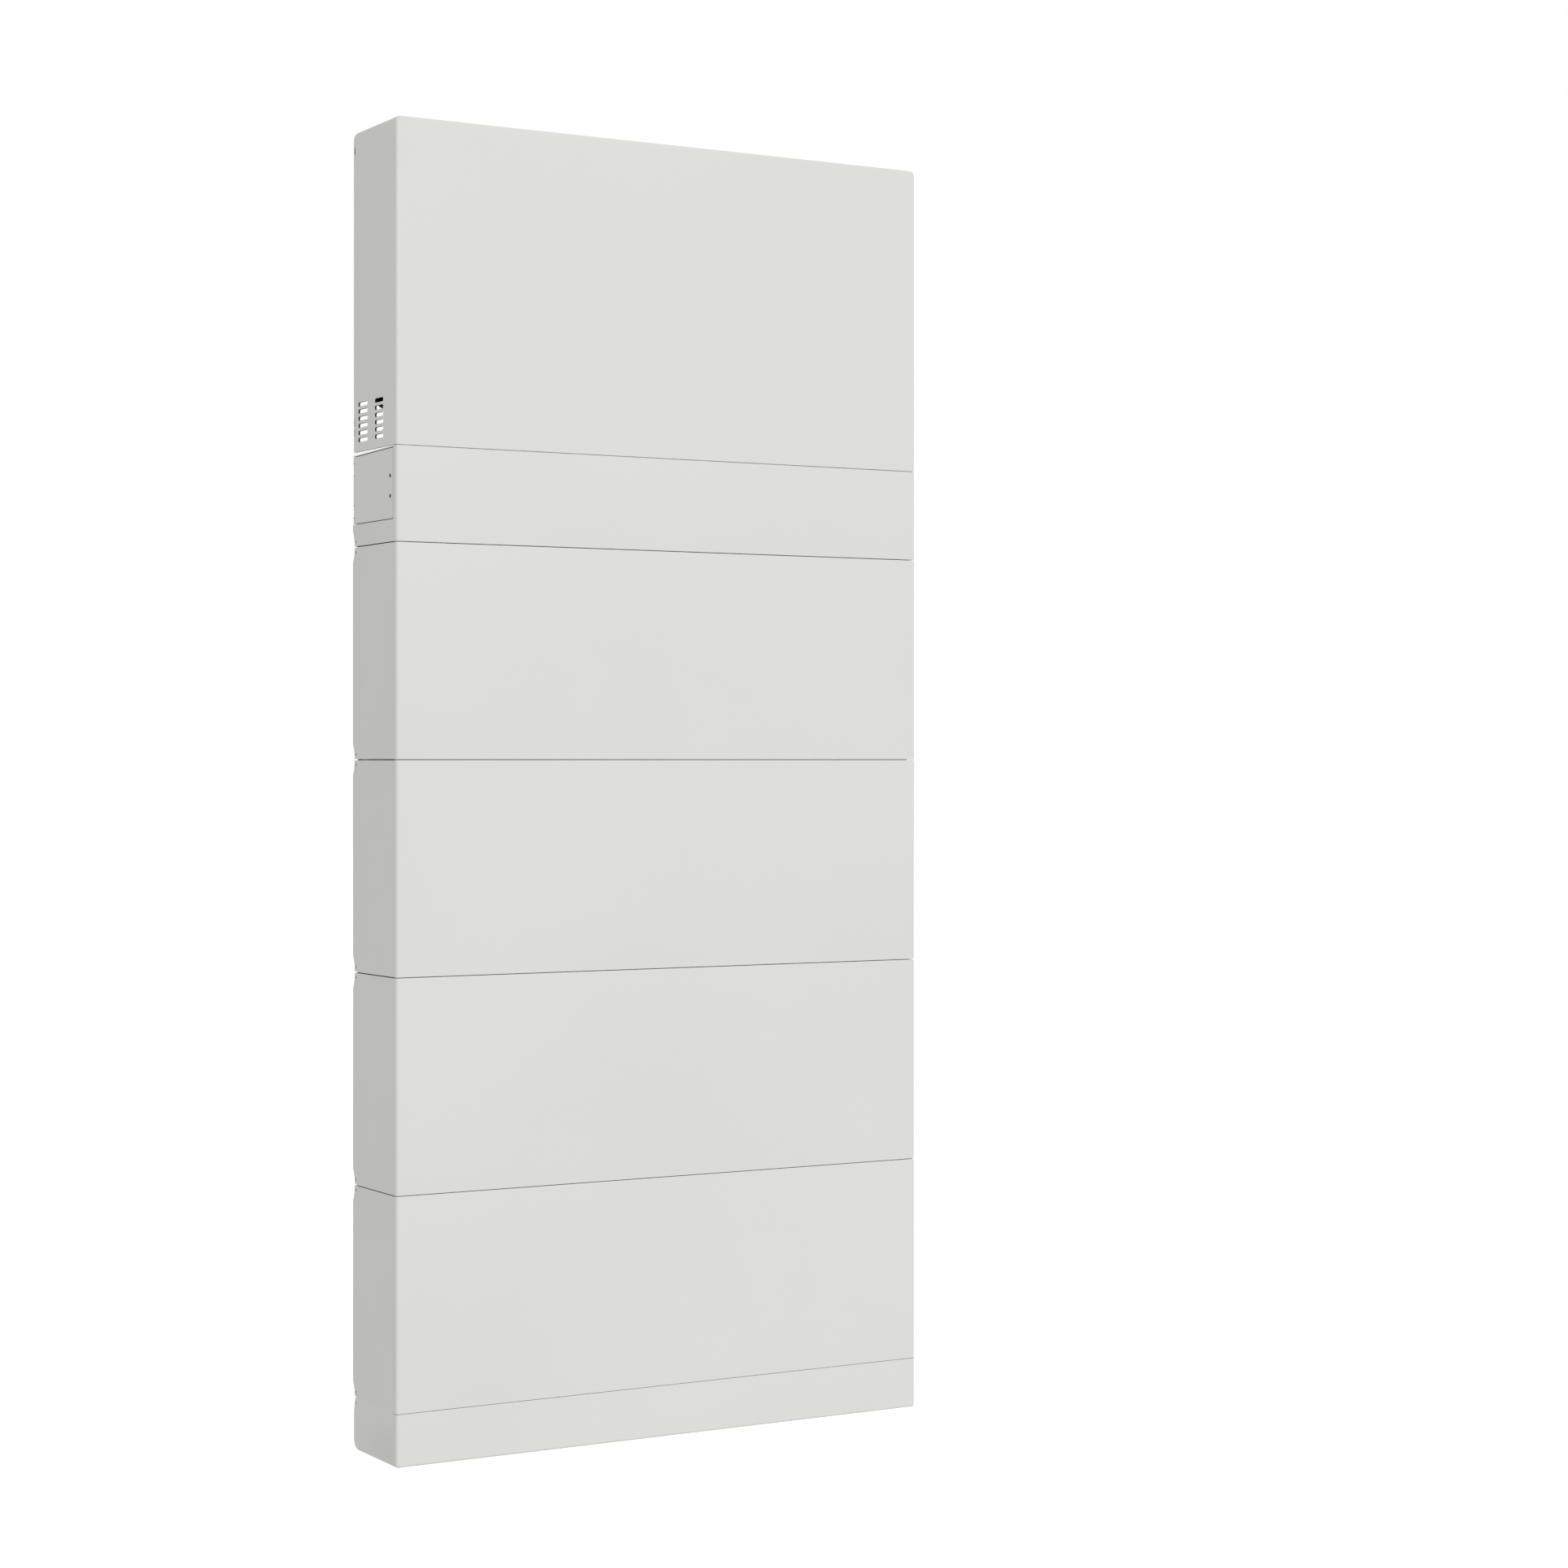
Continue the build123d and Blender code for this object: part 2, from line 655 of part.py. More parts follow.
seal_margin = door_clearance - seal_gap
with BuildPart() as door_seal:
    with BuildSketch(Plane.YZ.offset(jamb_face)):
        with BuildLine():
            Polyline(*door_corners(seal_margin), close=True)
        make_face()
        with Locations(((window_front + window_rear) / 2, (window_low + window_high) / 2)):
            Rectangle(window_rear - window_front, window_high - window_low, mode=Mode.SUBTRACT)
        with Locations((hinge_y, (door_bottom + door_top_front) / 2)):
            Rectangle(2 * (hinge_y - window_rear - seal_width), 2 * door_height, mode=Mode.SUBTRACT)
    extrude(amount=-seal_thickness)
    with BuildSketch(Plane.YZ.offset(jamb_face)):
        with BuildLine():
            Polyline(*door_corners(seal_margin), close=True)
        make_face()
        with BuildLine():
            Polyline(*door_corners(lip_gap), close=True)
        make_face(mode=Mode.SUBTRACT)
        with Locations(((door_front + window_rear) / 2, (door_bottom + door_top_front) / 2)):
            Rectangle(window_rear - door_front, 2 * door_height, mode=Mode.INTERSECT)
    extrude(amount=-(jamb_recess - lip_below_face))
save(door_seal.part, "door_seal")

latch_reach = bay_inner + 0.4
for height, cam_way, latch_name in zip(latch_heights, (1, -1), ("door_latch_upper", "door_latch_lower")):
    with BuildPart() as latch:
        head_face = left + 0.1
        rod((head_face + latch_head_height / 2 - 0.05, latch_y, height), latch_head_radius,
            latch_head_height - 0.1, "X")
        shaft_end = latch_reach + latch_cam_thickness
        rod(((head_face + shaft_end) / 2, latch_y, height), latch_shaft_radius, shaft_end - head_face, "X")
        block((latch_reach, shaft_end), (latch_y - latch_cam_width / 2, latch_y + latch_cam_width / 2),
              sorted((height, height + cam_way * latch_cam_length)))
        block((left, head_face + 0.5), (latch_y - latch_head_radius, latch_y + latch_head_radius),
              (height - 0.5, height + 0.5), Mode.SUBTRACT)
    save(latch.part, latch_name)

# ---- wiring bay: terminals and breaker -------------------------------------------------------
device_face = bay_back - device_depth
terminal_front = window_front + 0.06 * window_span
terminal_width = 0.35 * window_span
with BuildPart() as terminal_block:
    block((device_face + terminal_step, bay_back), (terminal_front, terminal_front + terminal_width),
          (window_low + 0.09 * window_rise, window_high - 0.09 * window_rise))
    for row in range(terminal_rows):
        z = window_low + (0.18 + 0.128 * row) * window_rise
        rod((device_face + terminal_step, terminal_front + 0.3 * terminal_width, z),
            terminal_screw_radius, 2 * terminal_screw_radius, "X", Mode.SUBTRACT)
        rod((device_face + terminal_step, terminal_front + 0.7 * terminal_width, z),
            terminal_screw_radius, 6 * terminal_screw_radius, "X", Mode.SUBTRACT)
save(terminal_block.part, "terminal_block")

breaker_front = window_front + 0.48 * window_span
breaker_middle = breaker_front + breaker_width / 2
breaker_height = (window_low + window_high) / 2
lever_axis = device_face + lever_hub_depth
with BuildPart() as breaker_body:
    block((device_face, bay_back), (breaker_front, breaker_front + breaker_width),
          (window_low + sheet, window_high - sheet))
    block((device_face - sheet, lever_axis), (breaker_middle - lever_width / 2 - lever_gap,
          breaker_middle + lever_width / 2 + lever_gap), (breaker_height - lever_slot_half_height, breaker_height + lever_slot_half_height), Mode.SUBTRACT)
    rod((lever_axis, breaker_middle, breaker_height), lever_hub_radius + lever_gap,
        lever_width + 2 * lever_gap, "Y", Mode.SUBTRACT)
save(breaker_body.part, "breaker_body")

with BuildPart() as breaker_lever:
    rod((lever_axis, breaker_middle, breaker_height), lever_hub_radius, lever_width, "Y")
    with BuildSketch(Plane.XZ.offset(-breaker_middle)):
        with Locations(Location((lever_axis, breaker_height), -lever_lift)):
            with Locations((-lever_length / 2, 0)):
                Rectangle(lever_length, lever_thickness)
    extrude(amount=lever_width / 2, both=True)
save(breaker_lever.part, "breaker_lever")

# ---- controller electronics ------------------------------------------------------------------
board_low = controller_low + casting_wall + board_gap
board_high = controller_high - casting_wall - board_gap
board_rise = board_high - board_low
board_rear = rear - casting_wall - standoff_height
board_half_width = width / 2 - bay_depth - 2 * standoff_height
board_step = board_half_width / 2.5
with BuildPart() as control_board:
    block((-board_half_width, board_half_width), (board_rear - board_thickness, board_rear), (board_low, board_high))
    for column in range(5):
        x = -board_half_width + (column + 0.3) * board_step
        block((x, x + 0.4 * board_step), (board_rear - tall_component, board_rear - board_thickness),
              (board_low + 0.12 * board_rise, board_low + 0.42 * board_rise))
        block((x + 0.1 * board_step, x + 0.6 * board_step), (board_rear - low_component, board_rear - board_thickness),
              (board_low + 0.56 * board_rise, board_low + 0.78 * board_rise))
    for x in (-board_half_width + board_gap, 0, board_half_width - board_gap):
        rod((x, board_rear + standoff_height / 2, board_low + standoff_height), standoff_height / 2,
            standoff_height, "Y")
save(control_board.part, "control_board")

contactor_low = controller_low + casting_wall
contactor_front = main_front + panel_from_front
with BuildPart() as contactors:
    for column in range(3):
        x = -0.2 * width + 0.12 * width * column
        block((x, x + contactor_width), (contactor_front, contactor_front + contactor_width),
              (contactor_low, contactor_low + contactor_height))
        for side in (-1, 1):
            rod((x + contactor_width / 2 + side * 3 * stud_radius, contactor_front + contactor_width / 2,
                 contactor_low + contactor_height + stud_radius), stud_radius, 2 * stud_radius, "Z")
save(contactors.part, "contactors")

# ---- controller side panel and what it carries -----------------------------------------------
knob_y = panel_front + 0.22 * panel_span
knob_z = service_height + 0.41 * panel_half
button_z = service_height - 0.54 * panel_half
pv_y = panel_front + 0.515 * panel_span
pv_heights = [service_height + share * panel_half for share in (-0.69, -0.23, 0.23, 0.69)]
gland_y = panel_front + 0.81 * panel_span
gland_heights = [service_height + share * panel_half for share in (-0.43, 0.43)]
with BuildPart() as connector_panel:
    block((panel_back, right - panel_fit), (panel_front + panel_fit, panel_rear - panel_fit),
          (panel_low + panel_fit, panel_high - panel_fit))
    block((panel_face, right), (panel_front + sheet, panel_rear - sheet), (panel_low + sheet, panel_high - sheet),
          Mode.SUBTRACT)
    rod((panel_back, knob_y, knob_z), knob_shaft_radius + screw_clearance, 4 * sheet, "X", Mode.SUBTRACT)
    rod((panel_back, knob_y, button_z), button_radius + button_clearance, 4 * sheet, "X", Mode.SUBTRACT)
    for z in pv_heights:
        rod((panel_back, pv_y, z), pv_radius + screw_clearance, 4 * sheet, "X", Mode.SUBTRACT)
    for z in gland_heights:
        rod((panel_back, gland_y, z), gland_neck_radius + screw_clearance, 4 * sheet, "X", Mode.SUBTRACT)
save(connector_panel.part, "connector_panel")

with BuildPart() as cable_glands:
    for z in gland_heights:
        with BuildSketch(Plane.YZ.offset(panel_face)):
            with Locations((gland_y, z)):
                RegularPolygon(gland_hex_radius, 6)
        extrude(amount=gland_nut_length)
        rod((panel_face + gland_outer_length / 2, gland_y, z), gland_dome_radius, gland_outer_length, "X")
        rod((panel_back, gland_y, z), gland_neck_radius, 2 * (sheet + gland_nut_length) - sheet, "X")
        rod((panel_back - gland_nut_length / 2, gland_y, z), gland_nut_radius, gland_nut_length, "X")
        rod((panel_back, gland_y, z), gland_bore_radius, 6 * gland_outer_length, "X", Mode.SUBTRACT)
save(cable_glands.part, "cable_glands")

with BuildPart() as pv_sockets:
    for z in pv_heights:
        rod((panel_face + pv_length / 2 - sheet, pv_y, z), pv_radius, pv_length + 2 * sheet, "X")
        rod((panel_face + pv_pin_radius, pv_y, z), pv_flange_radius, 2 * pv_pin_radius, "X")
        rod((panel_face + pv_length, pv_y, z), pv_radius - pv_pin_radius, pv_length, "X", Mode.SUBTRACT)
        rod((panel_face + pv_length / 2, pv_y, z), pv_pin_radius, pv_length, "X")
        rod((panel_back - pv_length / 2, pv_y, z), pv_radius, pv_length, "X")
save(pv_sockets.part, "pv_sockets")

with BuildPart() as isolator_body:
    block((panel_back - isolator_depth, panel_back), (knob_y - isolator_half_size, knob_y + isolator_half_size),
          (knob_z - isolator_half_size, knob_z + isolator_half_size))
    rod((panel_back, knob_y, knob_z), knob_shaft_radius + screw_clearance, 2 * isolator_half_size, "X",
        Mode.SUBTRACT)
save(isolator_body.part, "isolator_body")

with BuildPart() as isolator_knob:
    knob_back = panel_face + 0.4
    rod((knob_back + knob_base_height / 2, knob_y, knob_z), knob_radius, knob_base_height, "X")
    block((knob_back, knob_back + knob_grip_height), (knob_y - knob_grip_width / 2, knob_y + knob_grip_width / 2),
          (knob_z - knob_radius + 1, knob_z + knob_radius - 1))
    fillet(isolator_knob.faces().sort_by(Axis.X)[-1].edges(), 1.6)
    rod(((panel_back - 10 + knob_back + 1) / 2, knob_y, knob_z), knob_shaft_radius,
        knob_back + 1 - (panel_back - 10), "X")
save(isolator_knob.part, "isolator_knob")

with BuildPart() as power_button:
    button_back = panel_back - 4
    button_face = panel_face + button_proud
    rod(((button_back + button_face) / 2, knob_y, button_z), button_radius, button_face - button_back, "X")
    fillet(power_button.faces().sort_by(Axis.X)[-1].edges(), 1.0)
save(power_button.part, "power_button")

# ---- inverter --------------------------------------------------------------------------------
inverter_low = inverter_bottom + front_seam / 2


def inverter_shell(inset, reach):
    """Solid with the cover's rounded top corners and rounded top rear edge, shrunk by an inset."""
    corner = inverter_corner_radius - inset
    end = top_end_radius - inset
    with BuildPart() as shell:
        with BuildSketch(Plane.XZ.offset(-front - inset)):
            with Locations((0, (inverter_low + top) / 2)):
                RectangleRounded(width - 2 * inset, top - inverter_low - 2 * inset, corner)
            with Locations((0, inverter_low)):
                Rectangle(width - 2 * inset, 4 * inverter_corner_radius)
        extrude(amount=-(inverter_rear - front + reach))
        arc_y = inverter_rear - top_end_radius
        arc_z = top - top_end_radius
        with BuildSketch(Plane.YZ.offset(left)):
            with BuildLine():
                Polyline((inverter_rear - inset, arc_z), (inverter_rear - inset, inverter_low - reach),
                         (front + inset, inverter_low - reach), (front + inset, top - inset), (arc_y, top - inset))
                RadiusArc((arc_y, top - inset), (inverter_rear - inset, arc_z), end)
            make_face()
            with Locations(((arc_y + inverter_rear + reach) / 2, (inverter_low - reach + arc_z) / 2)):
                Rectangle(top_end_radius + reach, arc_z - inverter_low + reach)
        extrude(amount=width, mode=Mode.INTERSECT)
    return shell.part


with BuildPart() as inverter_cover:
    add(inverter_shell(0, 0))
    with Locations((0, front, inverter_low - 2 * inverter_corner_radius)):
        Box(2 * width, 4 * depth, 4 * inverter_corner_radius, mode=Mode.SUBTRACT)
    fillet(inverter_cover.faces().sort_by(Axis.Y)[0].edges().sort_by(Axis.Z)[1:], bend_radius)
    add(inverter_shell(sheet, sheet), mode=Mode.SUBTRACT)
    for side in (-1, 1):
        for start_share, length_share in slot_columns:
            start = start_share * depth
            length = length_share * depth
            for row in range(slot_rows):
                height = inverter_bottom + slot_first + row * slot_pitch
                with BuildSketch(side_plane(side, front + start + length / 2, height)):
                    SlotOverall(length, slot_height)
                extrude(amount=-2 * sheet, mode=Mode.SUBTRACT)
        for height in clip_slot_heights:
            with BuildSketch(side_plane(side, inverter_rear - 1.5 * clip_slot_width, inverter_bottom + height)):
                Rectangle(clip_slot_width, clip_slot_height)
            extrude(amount=-2 * sheet, mode=Mode.SUBTRACT)
        with BuildSketch(side_plane(side, inverter_rear - 1.5 * hook_slot_width, top - hook_slot_below_top)):
            SlotOverall(hook_slot_height, hook_slot_width, rotation=90)
        extrude(amount=-2 * sheet, mode=Mode.SUBTRACT)
save(inverter_cover.part, "inverter_cover")

floor_low = controller_high
fin_rear = inverter_rear - fin_from_rear
sink_face = fin_rear - fin_length - sink_base
with BuildPart() as inverter_floor:
    block((left + sheet + cover_fit, right - sheet - cover_fit), (front + sheet + cover_fit, inverter_rear - sheet),
          (floor_low, floor_low + sheet))
    for x in (-wire_hole_x, wire_hole_x):
        rod((x, middle_depth, floor_low), wire_hole_radius, 4 * sheet, "Z", Mode.SUBTRACT)
    for side in (-1, 1):
        leg = side * (sink_half_width - 2 * leg_half_width)
        block((leg - leg_half_width, leg + leg_half_width), (sink_face - leg_half_width, fin_rear - leg_half_width),
              (floor_low, floor_low + sink_lift))
save(inverter_floor.part, "inverter_floor")

sink_low = floor_low + sink_lift
sink_high = sink_low + sink_height
with BuildPart() as inverter_heat_sink:
    block((-sink_half_width, sink_half_width), (sink_face, sink_face + sink_base), (sink_low, sink_high))
    fin_count = int(2 * sink_half_width // fin_pitch) + 1
    fin_start = -(fin_count - 1) * fin_pitch / 2
    for index in range(fin_count):
        x = fin_start + index * fin_pitch
        x_low = max(x - fin_thickness / 2, -sink_half_width)
        x_high = min(x + fin_thickness / 2, sink_half_width)
        block((x_low, x_high), (sink_face + sink_base / 2, fin_rear), (sink_low, sink_high))
save(inverter_heat_sink.part, "inverter_heat_sink")

board_face = sink_face - board_gap
power_half_width = sink_half_width - board_inset
power_step = power_half_width / 3
with BuildPart() as power_board:
    block((-power_half_width, power_half_width), (board_face - board_thickness, board_face),
          (sink_low + 0.06 * sink_height, sink_high - 0.06 * sink_height))
    for column in range(6):
        x = -power_half_width + (column + 0.2) * power_step
        block((x, x + 0.25 * power_step), (board_face, sink_face),
              (sink_low + 0.18 * sink_height, sink_low + 0.27 * sink_height))
        block((x, x + 0.66 * power_step), (board_face - tall_component, board_face - board_thickness),
              (sink_low + 0.62 * sink_height, sink_low + 0.7 * sink_height))
save(power_board.part, "power_board")

coil_step = 0.296 * power_half_width
coil_radius = 0.375 * coil_step
coil_middle = board_face - board_thickness - coil_stand - coil_length / 2
coil_height = sink_low + 0.225 * sink_height
with BuildPart() as inductors:
    for column in range(4):
        x = -0.83 * power_half_width + column * coil_step
        rod((x, coil_middle, coil_height), coil_radius, coil_length, "Y")
        rod((x, coil_middle, coil_height), 0.4 * coil_radius, 2 * coil_length, "Y", Mode.SUBTRACT)
        block((x - 0.8 * coil_radius, x + 0.8 * coil_radius), (board_face - board_thickness - coil_stand,
              board_face - board_thickness), (coil_height - 0.9 * coil_radius, coil_height - 0.65 * coil_radius))
save(inductors.part, "inductors")

can_step = 0.163 * power_half_width
can_middle = board_face - board_thickness - can_length / 2
with BuildPart() as capacitors:
    for column in range(8):
        for row in range(2):
            rod((-0.78 * power_half_width + column * can_step, can_middle,
                 sink_low + (0.43 + 0.12 * row) * sink_height), can_radius, can_length, "Y")
save(capacitors.part, "capacitors")

fan_y = front + fan_middle_share * depth
fan_z = inverter_bottom + fan_above_bottom
fan_outer = right - sheet - fan_wall_gap
spider_reach = fan_blade_radius + fan_rim / 2
arm_rear = fan_y + fan_radius - fan_rim / 2
with BuildPart() as fan_frames:
    for side in (-1, 1):
        middle = side * (fan_outer - fan_thickness / 2)
        rod((middle, fan_y, fan_z), fan_radius, fan_thickness, "X")
        rod((middle, fan_y, fan_z), fan_blade_radius + fan_running_gap, 2 * fan_thickness, "X", Mode.SUBTRACT)
        inner = side * (fan_outer - fan_thickness)
        spider = sorted((inner, inner + side * spider_thickness))
        rod(((spider[0] + spider[1]) / 2, fan_y, fan_z), fan_hub_radius, spider_thickness, "X")
        block(spider, (fan_y - spider_reach, fan_y + spider_reach), (fan_z - spider_half_width, fan_z + spider_half_width))
        block(spider, (fan_y - spider_half_width, fan_y + spider_half_width), (fan_z - spider_reach, fan_z + spider_reach))
        rod((middle, fan_y, fan_z), fan_shaft_radius + screw_clearance, 2 * fan_thickness, "X", Mode.SUBTRACT)
        arm = sorted((inner, side * (sink_half_width - 2 * leg_half_width)))
        block(arm, (arm_rear - spider_thickness, arm_rear), (fan_z - leg_half_width, fan_z + leg_half_width))
        strut = sorted((arm[0], arm[0] + spider_thickness)) if side > 0 else (arm[1] - spider_thickness, arm[1])
        block(strut, (arm_rear - spider_thickness, sink_face), (fan_z - leg_half_width, fan_z + leg_half_width))
save(fan_frames.part, "fan_frames")

for side, rotor_name in ((-1, "fan_rotor_left"), (1, "fan_rotor_right")):
    hub_inner = side * (fan_outer - fan_thickness + spider_thickness + 1)
    hub_outer = side * (fan_outer - sheet)
    hub_middle = (hub_inner + hub_outer) / 2
    hub_length = abs(hub_outer - hub_inner)
    with BuildPart() as rotor:
        rod((hub_middle, fan_y, fan_z), fan_hub_radius, hub_length, "X")
        for index in range(fan_blade_count):
            spin = index * 360 / fan_blade_count
            blade_root = Plane(origin=(hub_middle, fan_y, fan_z), x_dir=(1, 0, 0), z_dir=(0, 0, 1))
            with BuildSketch(blade_root.rotated((spin, 0, 0)).offset(fan_hub_radius - fan_blade_thickness)):
                with Locations(Location((0, 0), fan_blade_pitch_angle)):
                    Rectangle(fan_blade_chord, fan_blade_thickness)
            extrude(amount=fan_blade_radius - fan_running_gap - fan_hub_radius + fan_blade_thickness)
        rod((hub_middle - side * fan_rim, fan_y, fan_z), fan_shaft_radius, hub_length + fan_rim, "X")
    save(rotor.part, rotor_name)

# ---- wall brackets and hanger ----------------------------------------------------------------
with BuildPart() as lower_wall_bracket:
    block((-lower_bracket_half_width, lower_bracket_half_width), (-bracket_sheet, 0),
          (shelf_top - bracket_sheet, shelf_top + lower_bracket_rise))
    block((-lower_bracket_half_width, lower_bracket_half_width), (-bracket_sheet - shelf_depth, 0),
          (shelf_top - bracket_sheet, shelf_top))
    for x in (-lower_pattern_x / 2, lower_pattern_x / 2):
        for z in (-lower_pattern_z / 2, lower_pattern_z / 2):
            rod((x, 0, z), wall_hole_radius, 4 * bracket_sheet, "Y", Mode.SUBTRACT)
save(lower_wall_bracket.part, "lower_wall_bracket")

upper_z = top - upper_bracket_below_top
ledge_low = upper_z + upper_bracket_half_height
lip_back = inverter_rear + hook_overlap / 4 - hook_clearance / 2
lip_front = lip_back - hook_thickness
lip_top = ledge_low + bracket_sheet + hook_rise
with BuildPart() as upper_wall_bracket:
    block((-upper_bracket_half_width, upper_bracket_half_width), (-bracket_sheet, 0),
          (upper_z - upper_bracket_half_height, ledge_low + bracket_sheet))
    block((-upper_bracket_half_width, upper_bracket_half_width), (lip_front, 0),
          (ledge_low, ledge_low + bracket_sheet))
    block((-upper_bracket_half_width, upper_bracket_half_width), (lip_front, lip_back), (ledge_low, lip_top))
    for x in (-upper_pattern_x / 2, upper_pattern_x / 2):
        for z in (upper_z - upper_pattern_z / 2, upper_z + upper_pattern_z / 2):
            rod((x, 0, z), wall_hole_radius, 4 * bracket_sheet, "Y", Mode.SUBTRACT)
save(upper_wall_bracket.part, "upper_wall_bracket")

hanger_half_width = upper_bracket_half_width - 2 * leg_half_width
hook_low = lip_back + hook_clearance
hook_high = hook_low + hook_thickness
with BuildPart() as inverter_hanger:
    block((-hanger_half_width, hanger_half_width), (fin_rear, lip_front - hook_clearance),
          (lip_top - 3 * hook_overlap, lip_top + hook_thickness))
    block((-hanger_half_width, hanger_half_width), (fin_rear, hook_high), (lip_top, lip_top + hook_thickness))
    block((-hanger_half_width, hanger_half_width), (hook_low, hook_high),
          (lip_top - hook_overlap, lip_top + hook_thickness))
save(inverter_hanger.part, "inverter_hanger")

# ---- tie plates and their screws -------------------------------------------------------------
tie_y = rear - tie_screw_from_rear
with BuildPart() as tie_plates:
    for seam in tied_seams:
        for side in (-1, 1):
            near = side * (right - tie_plate_depth)
            far = side * (right - tie_plate_depth - tie_plate_thickness)
            block(sorted((near, far)), (rear - tie_plate_rear_gap - tie_plate_length, rear - tie_plate_rear_gap),
                  (seam - tie_plate_height / 2, seam + tie_plate_height / 2))
            for offset in (-tie_screw_offset, tie_screw_offset):
                rod((near, tie_y, seam + offset), tie_screw_radius + screw_clearance, 4 * tie_plate_thickness, "X",
                    Mode.SUBTRACT)
save(tie_plates.part, "tie_plates")

with BuildPart() as tie_screws:
    for seam in tied_seams:
        for side in (-1, 1):
            seat_x = side * (right - tie_head_seat)
            for offset in (-tie_screw_offset, tie_screw_offset):
                rod((seat_x + side * tie_head_height / 2, tie_y, seam + offset), tie_head_radius,
                    tie_head_height, "X")
                rod((seat_x - side * (tie_screw_length - 1) / 2, tie_y, seam + offset), tie_screw_radius,
                    tie_screw_length - 1, "X")
save(tie_screws.part, "tie_screws")
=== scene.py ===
import json
import math
import bpy
import numpy as np
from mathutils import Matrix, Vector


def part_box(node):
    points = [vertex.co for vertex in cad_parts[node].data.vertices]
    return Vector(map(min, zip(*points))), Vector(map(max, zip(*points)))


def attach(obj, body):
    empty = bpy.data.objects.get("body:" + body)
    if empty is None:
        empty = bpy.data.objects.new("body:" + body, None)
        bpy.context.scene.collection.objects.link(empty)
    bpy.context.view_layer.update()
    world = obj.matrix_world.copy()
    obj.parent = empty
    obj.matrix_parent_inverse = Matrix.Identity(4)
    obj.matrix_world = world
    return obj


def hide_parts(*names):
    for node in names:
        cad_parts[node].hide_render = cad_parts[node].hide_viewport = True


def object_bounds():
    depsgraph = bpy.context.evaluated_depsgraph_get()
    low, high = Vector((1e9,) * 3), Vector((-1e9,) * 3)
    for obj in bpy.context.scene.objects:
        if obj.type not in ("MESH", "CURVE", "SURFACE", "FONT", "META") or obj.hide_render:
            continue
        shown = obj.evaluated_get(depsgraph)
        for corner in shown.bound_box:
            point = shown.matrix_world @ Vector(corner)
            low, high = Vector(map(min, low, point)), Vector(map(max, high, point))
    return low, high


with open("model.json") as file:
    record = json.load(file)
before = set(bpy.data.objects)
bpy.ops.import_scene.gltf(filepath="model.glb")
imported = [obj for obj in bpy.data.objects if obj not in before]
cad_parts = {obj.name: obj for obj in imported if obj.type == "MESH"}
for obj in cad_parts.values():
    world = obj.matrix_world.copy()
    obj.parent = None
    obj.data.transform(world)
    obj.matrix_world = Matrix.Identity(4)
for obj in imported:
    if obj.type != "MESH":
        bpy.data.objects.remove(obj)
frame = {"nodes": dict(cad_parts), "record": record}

cad_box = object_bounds()
MM = 0.001
MODULE_PITCH = 266 * MM
SEAM_COUNT = 5
# Half the gap under the inverter cover; the vents are measured from the gap's middle.
COVER_SEAM_HALF = 0.4 * MM
WELD_DISTANCE = 0.01 * MM
# Degrees between faces above which an edge stays sharp.
CAD_CREASE = 28.0
PIECE_CREASE = 32.0


# ---- camera, light and stage -----------------------------------------------------------------
def add_camera():
    """Level camera at the near left of the stack, looking about 30 degrees across its front."""
    low = cad_box[0]
    data = bpy.data.cameras.new("camera")
    data.lens = 74.7
    data.sensor_width = 36.0
    data.shift_y = -0.0155
    data.clip_end = 100.0
    camera = bpy.data.objects.new("camera", data)
    camera.location = (low[0] - 1.6, low[1] - 3.653, low[2] + 0.863)
    camera.rotation_euler = (math.radians(90), 0, math.radians(-30.45))
    bpy.context.scene.collection.objects.link(camera)
    bpy.context.scene.camera = camera


def add_light():
    """White surround that the eye sees, a softer one that lights the unit, and one broad front light."""
    scene = bpy.context.scene
    scene.view_settings.view_transform = "Standard"
    world = bpy.data.worlds.new("studio")
    world.use_nodes = True
    tree = world.node_tree
    tree.nodes.clear()
    seen = node(tree, "ShaderNodeBackground", {"Color": (1, 1, 1, 1), "Strength": 1.0})
    cast = node(tree, "ShaderNodeBackground", {"Color": (1, 1, 1, 1), "Strength": 0.625})
    path = node(tree, "ShaderNodeLightPath")
    mix = node(tree, "ShaderNodeMixShader", {0: path.outputs["Is Camera Ray"], 1: cast.outputs[0],
                                             2: seen.outputs[0]})
    node(tree, "ShaderNodeOutputWorld", {"Surface": mix.outputs[0]})
    scene.world = world
    lamp = bpy.data.lights.new("front_light", "SUN")
    lamp.energy = 1.03
    lamp.angle = math.radians(50)
    holder = bpy.data.objects.new("front_light", lamp)
    holder.rotation_euler = (math.radians(62), 0, math.radians(12))
    scene.collection.objects.link(holder)


def add_floor():
    """Plain pale floor, a hand's breadth below the hung unit."""
    size, drop = 30.0, 0.12
    z = cad_box[0][2] - drop
    mesh = bpy.data.meshes.new("studio_floor")
    corners = np.array([[-1, -1], [1, -1], [1, 1], [-1, 1]]) * size
    mesh.from_pydata([(x, y, z) for x, y in corners], [], [(0, 1, 2, 3)])
    floor = bpy.data.objects.new("studio_floor", mesh)
    bpy.context.scene.collection.objects.link(floor)
    floor.data.materials.append(MATERIALS["studio_paper"])
    floor.visible_diffuse = False
    floor.visible_glossy = False


# ---- materials -------------------------------------------------------------------------------
def linear(code):
    """sRGB hex code to a linear colour with full alpha."""
    srgb = np.array([int(code[i:i + 2], 16) for i in (1, 3, 5)]) / 255
    flat = np.where(srgb <= 0.04045, srgb / 12.92, ((srgb + 0.055) / 1.055) ** 2.4)
    return (*flat.tolist(), 1.0)


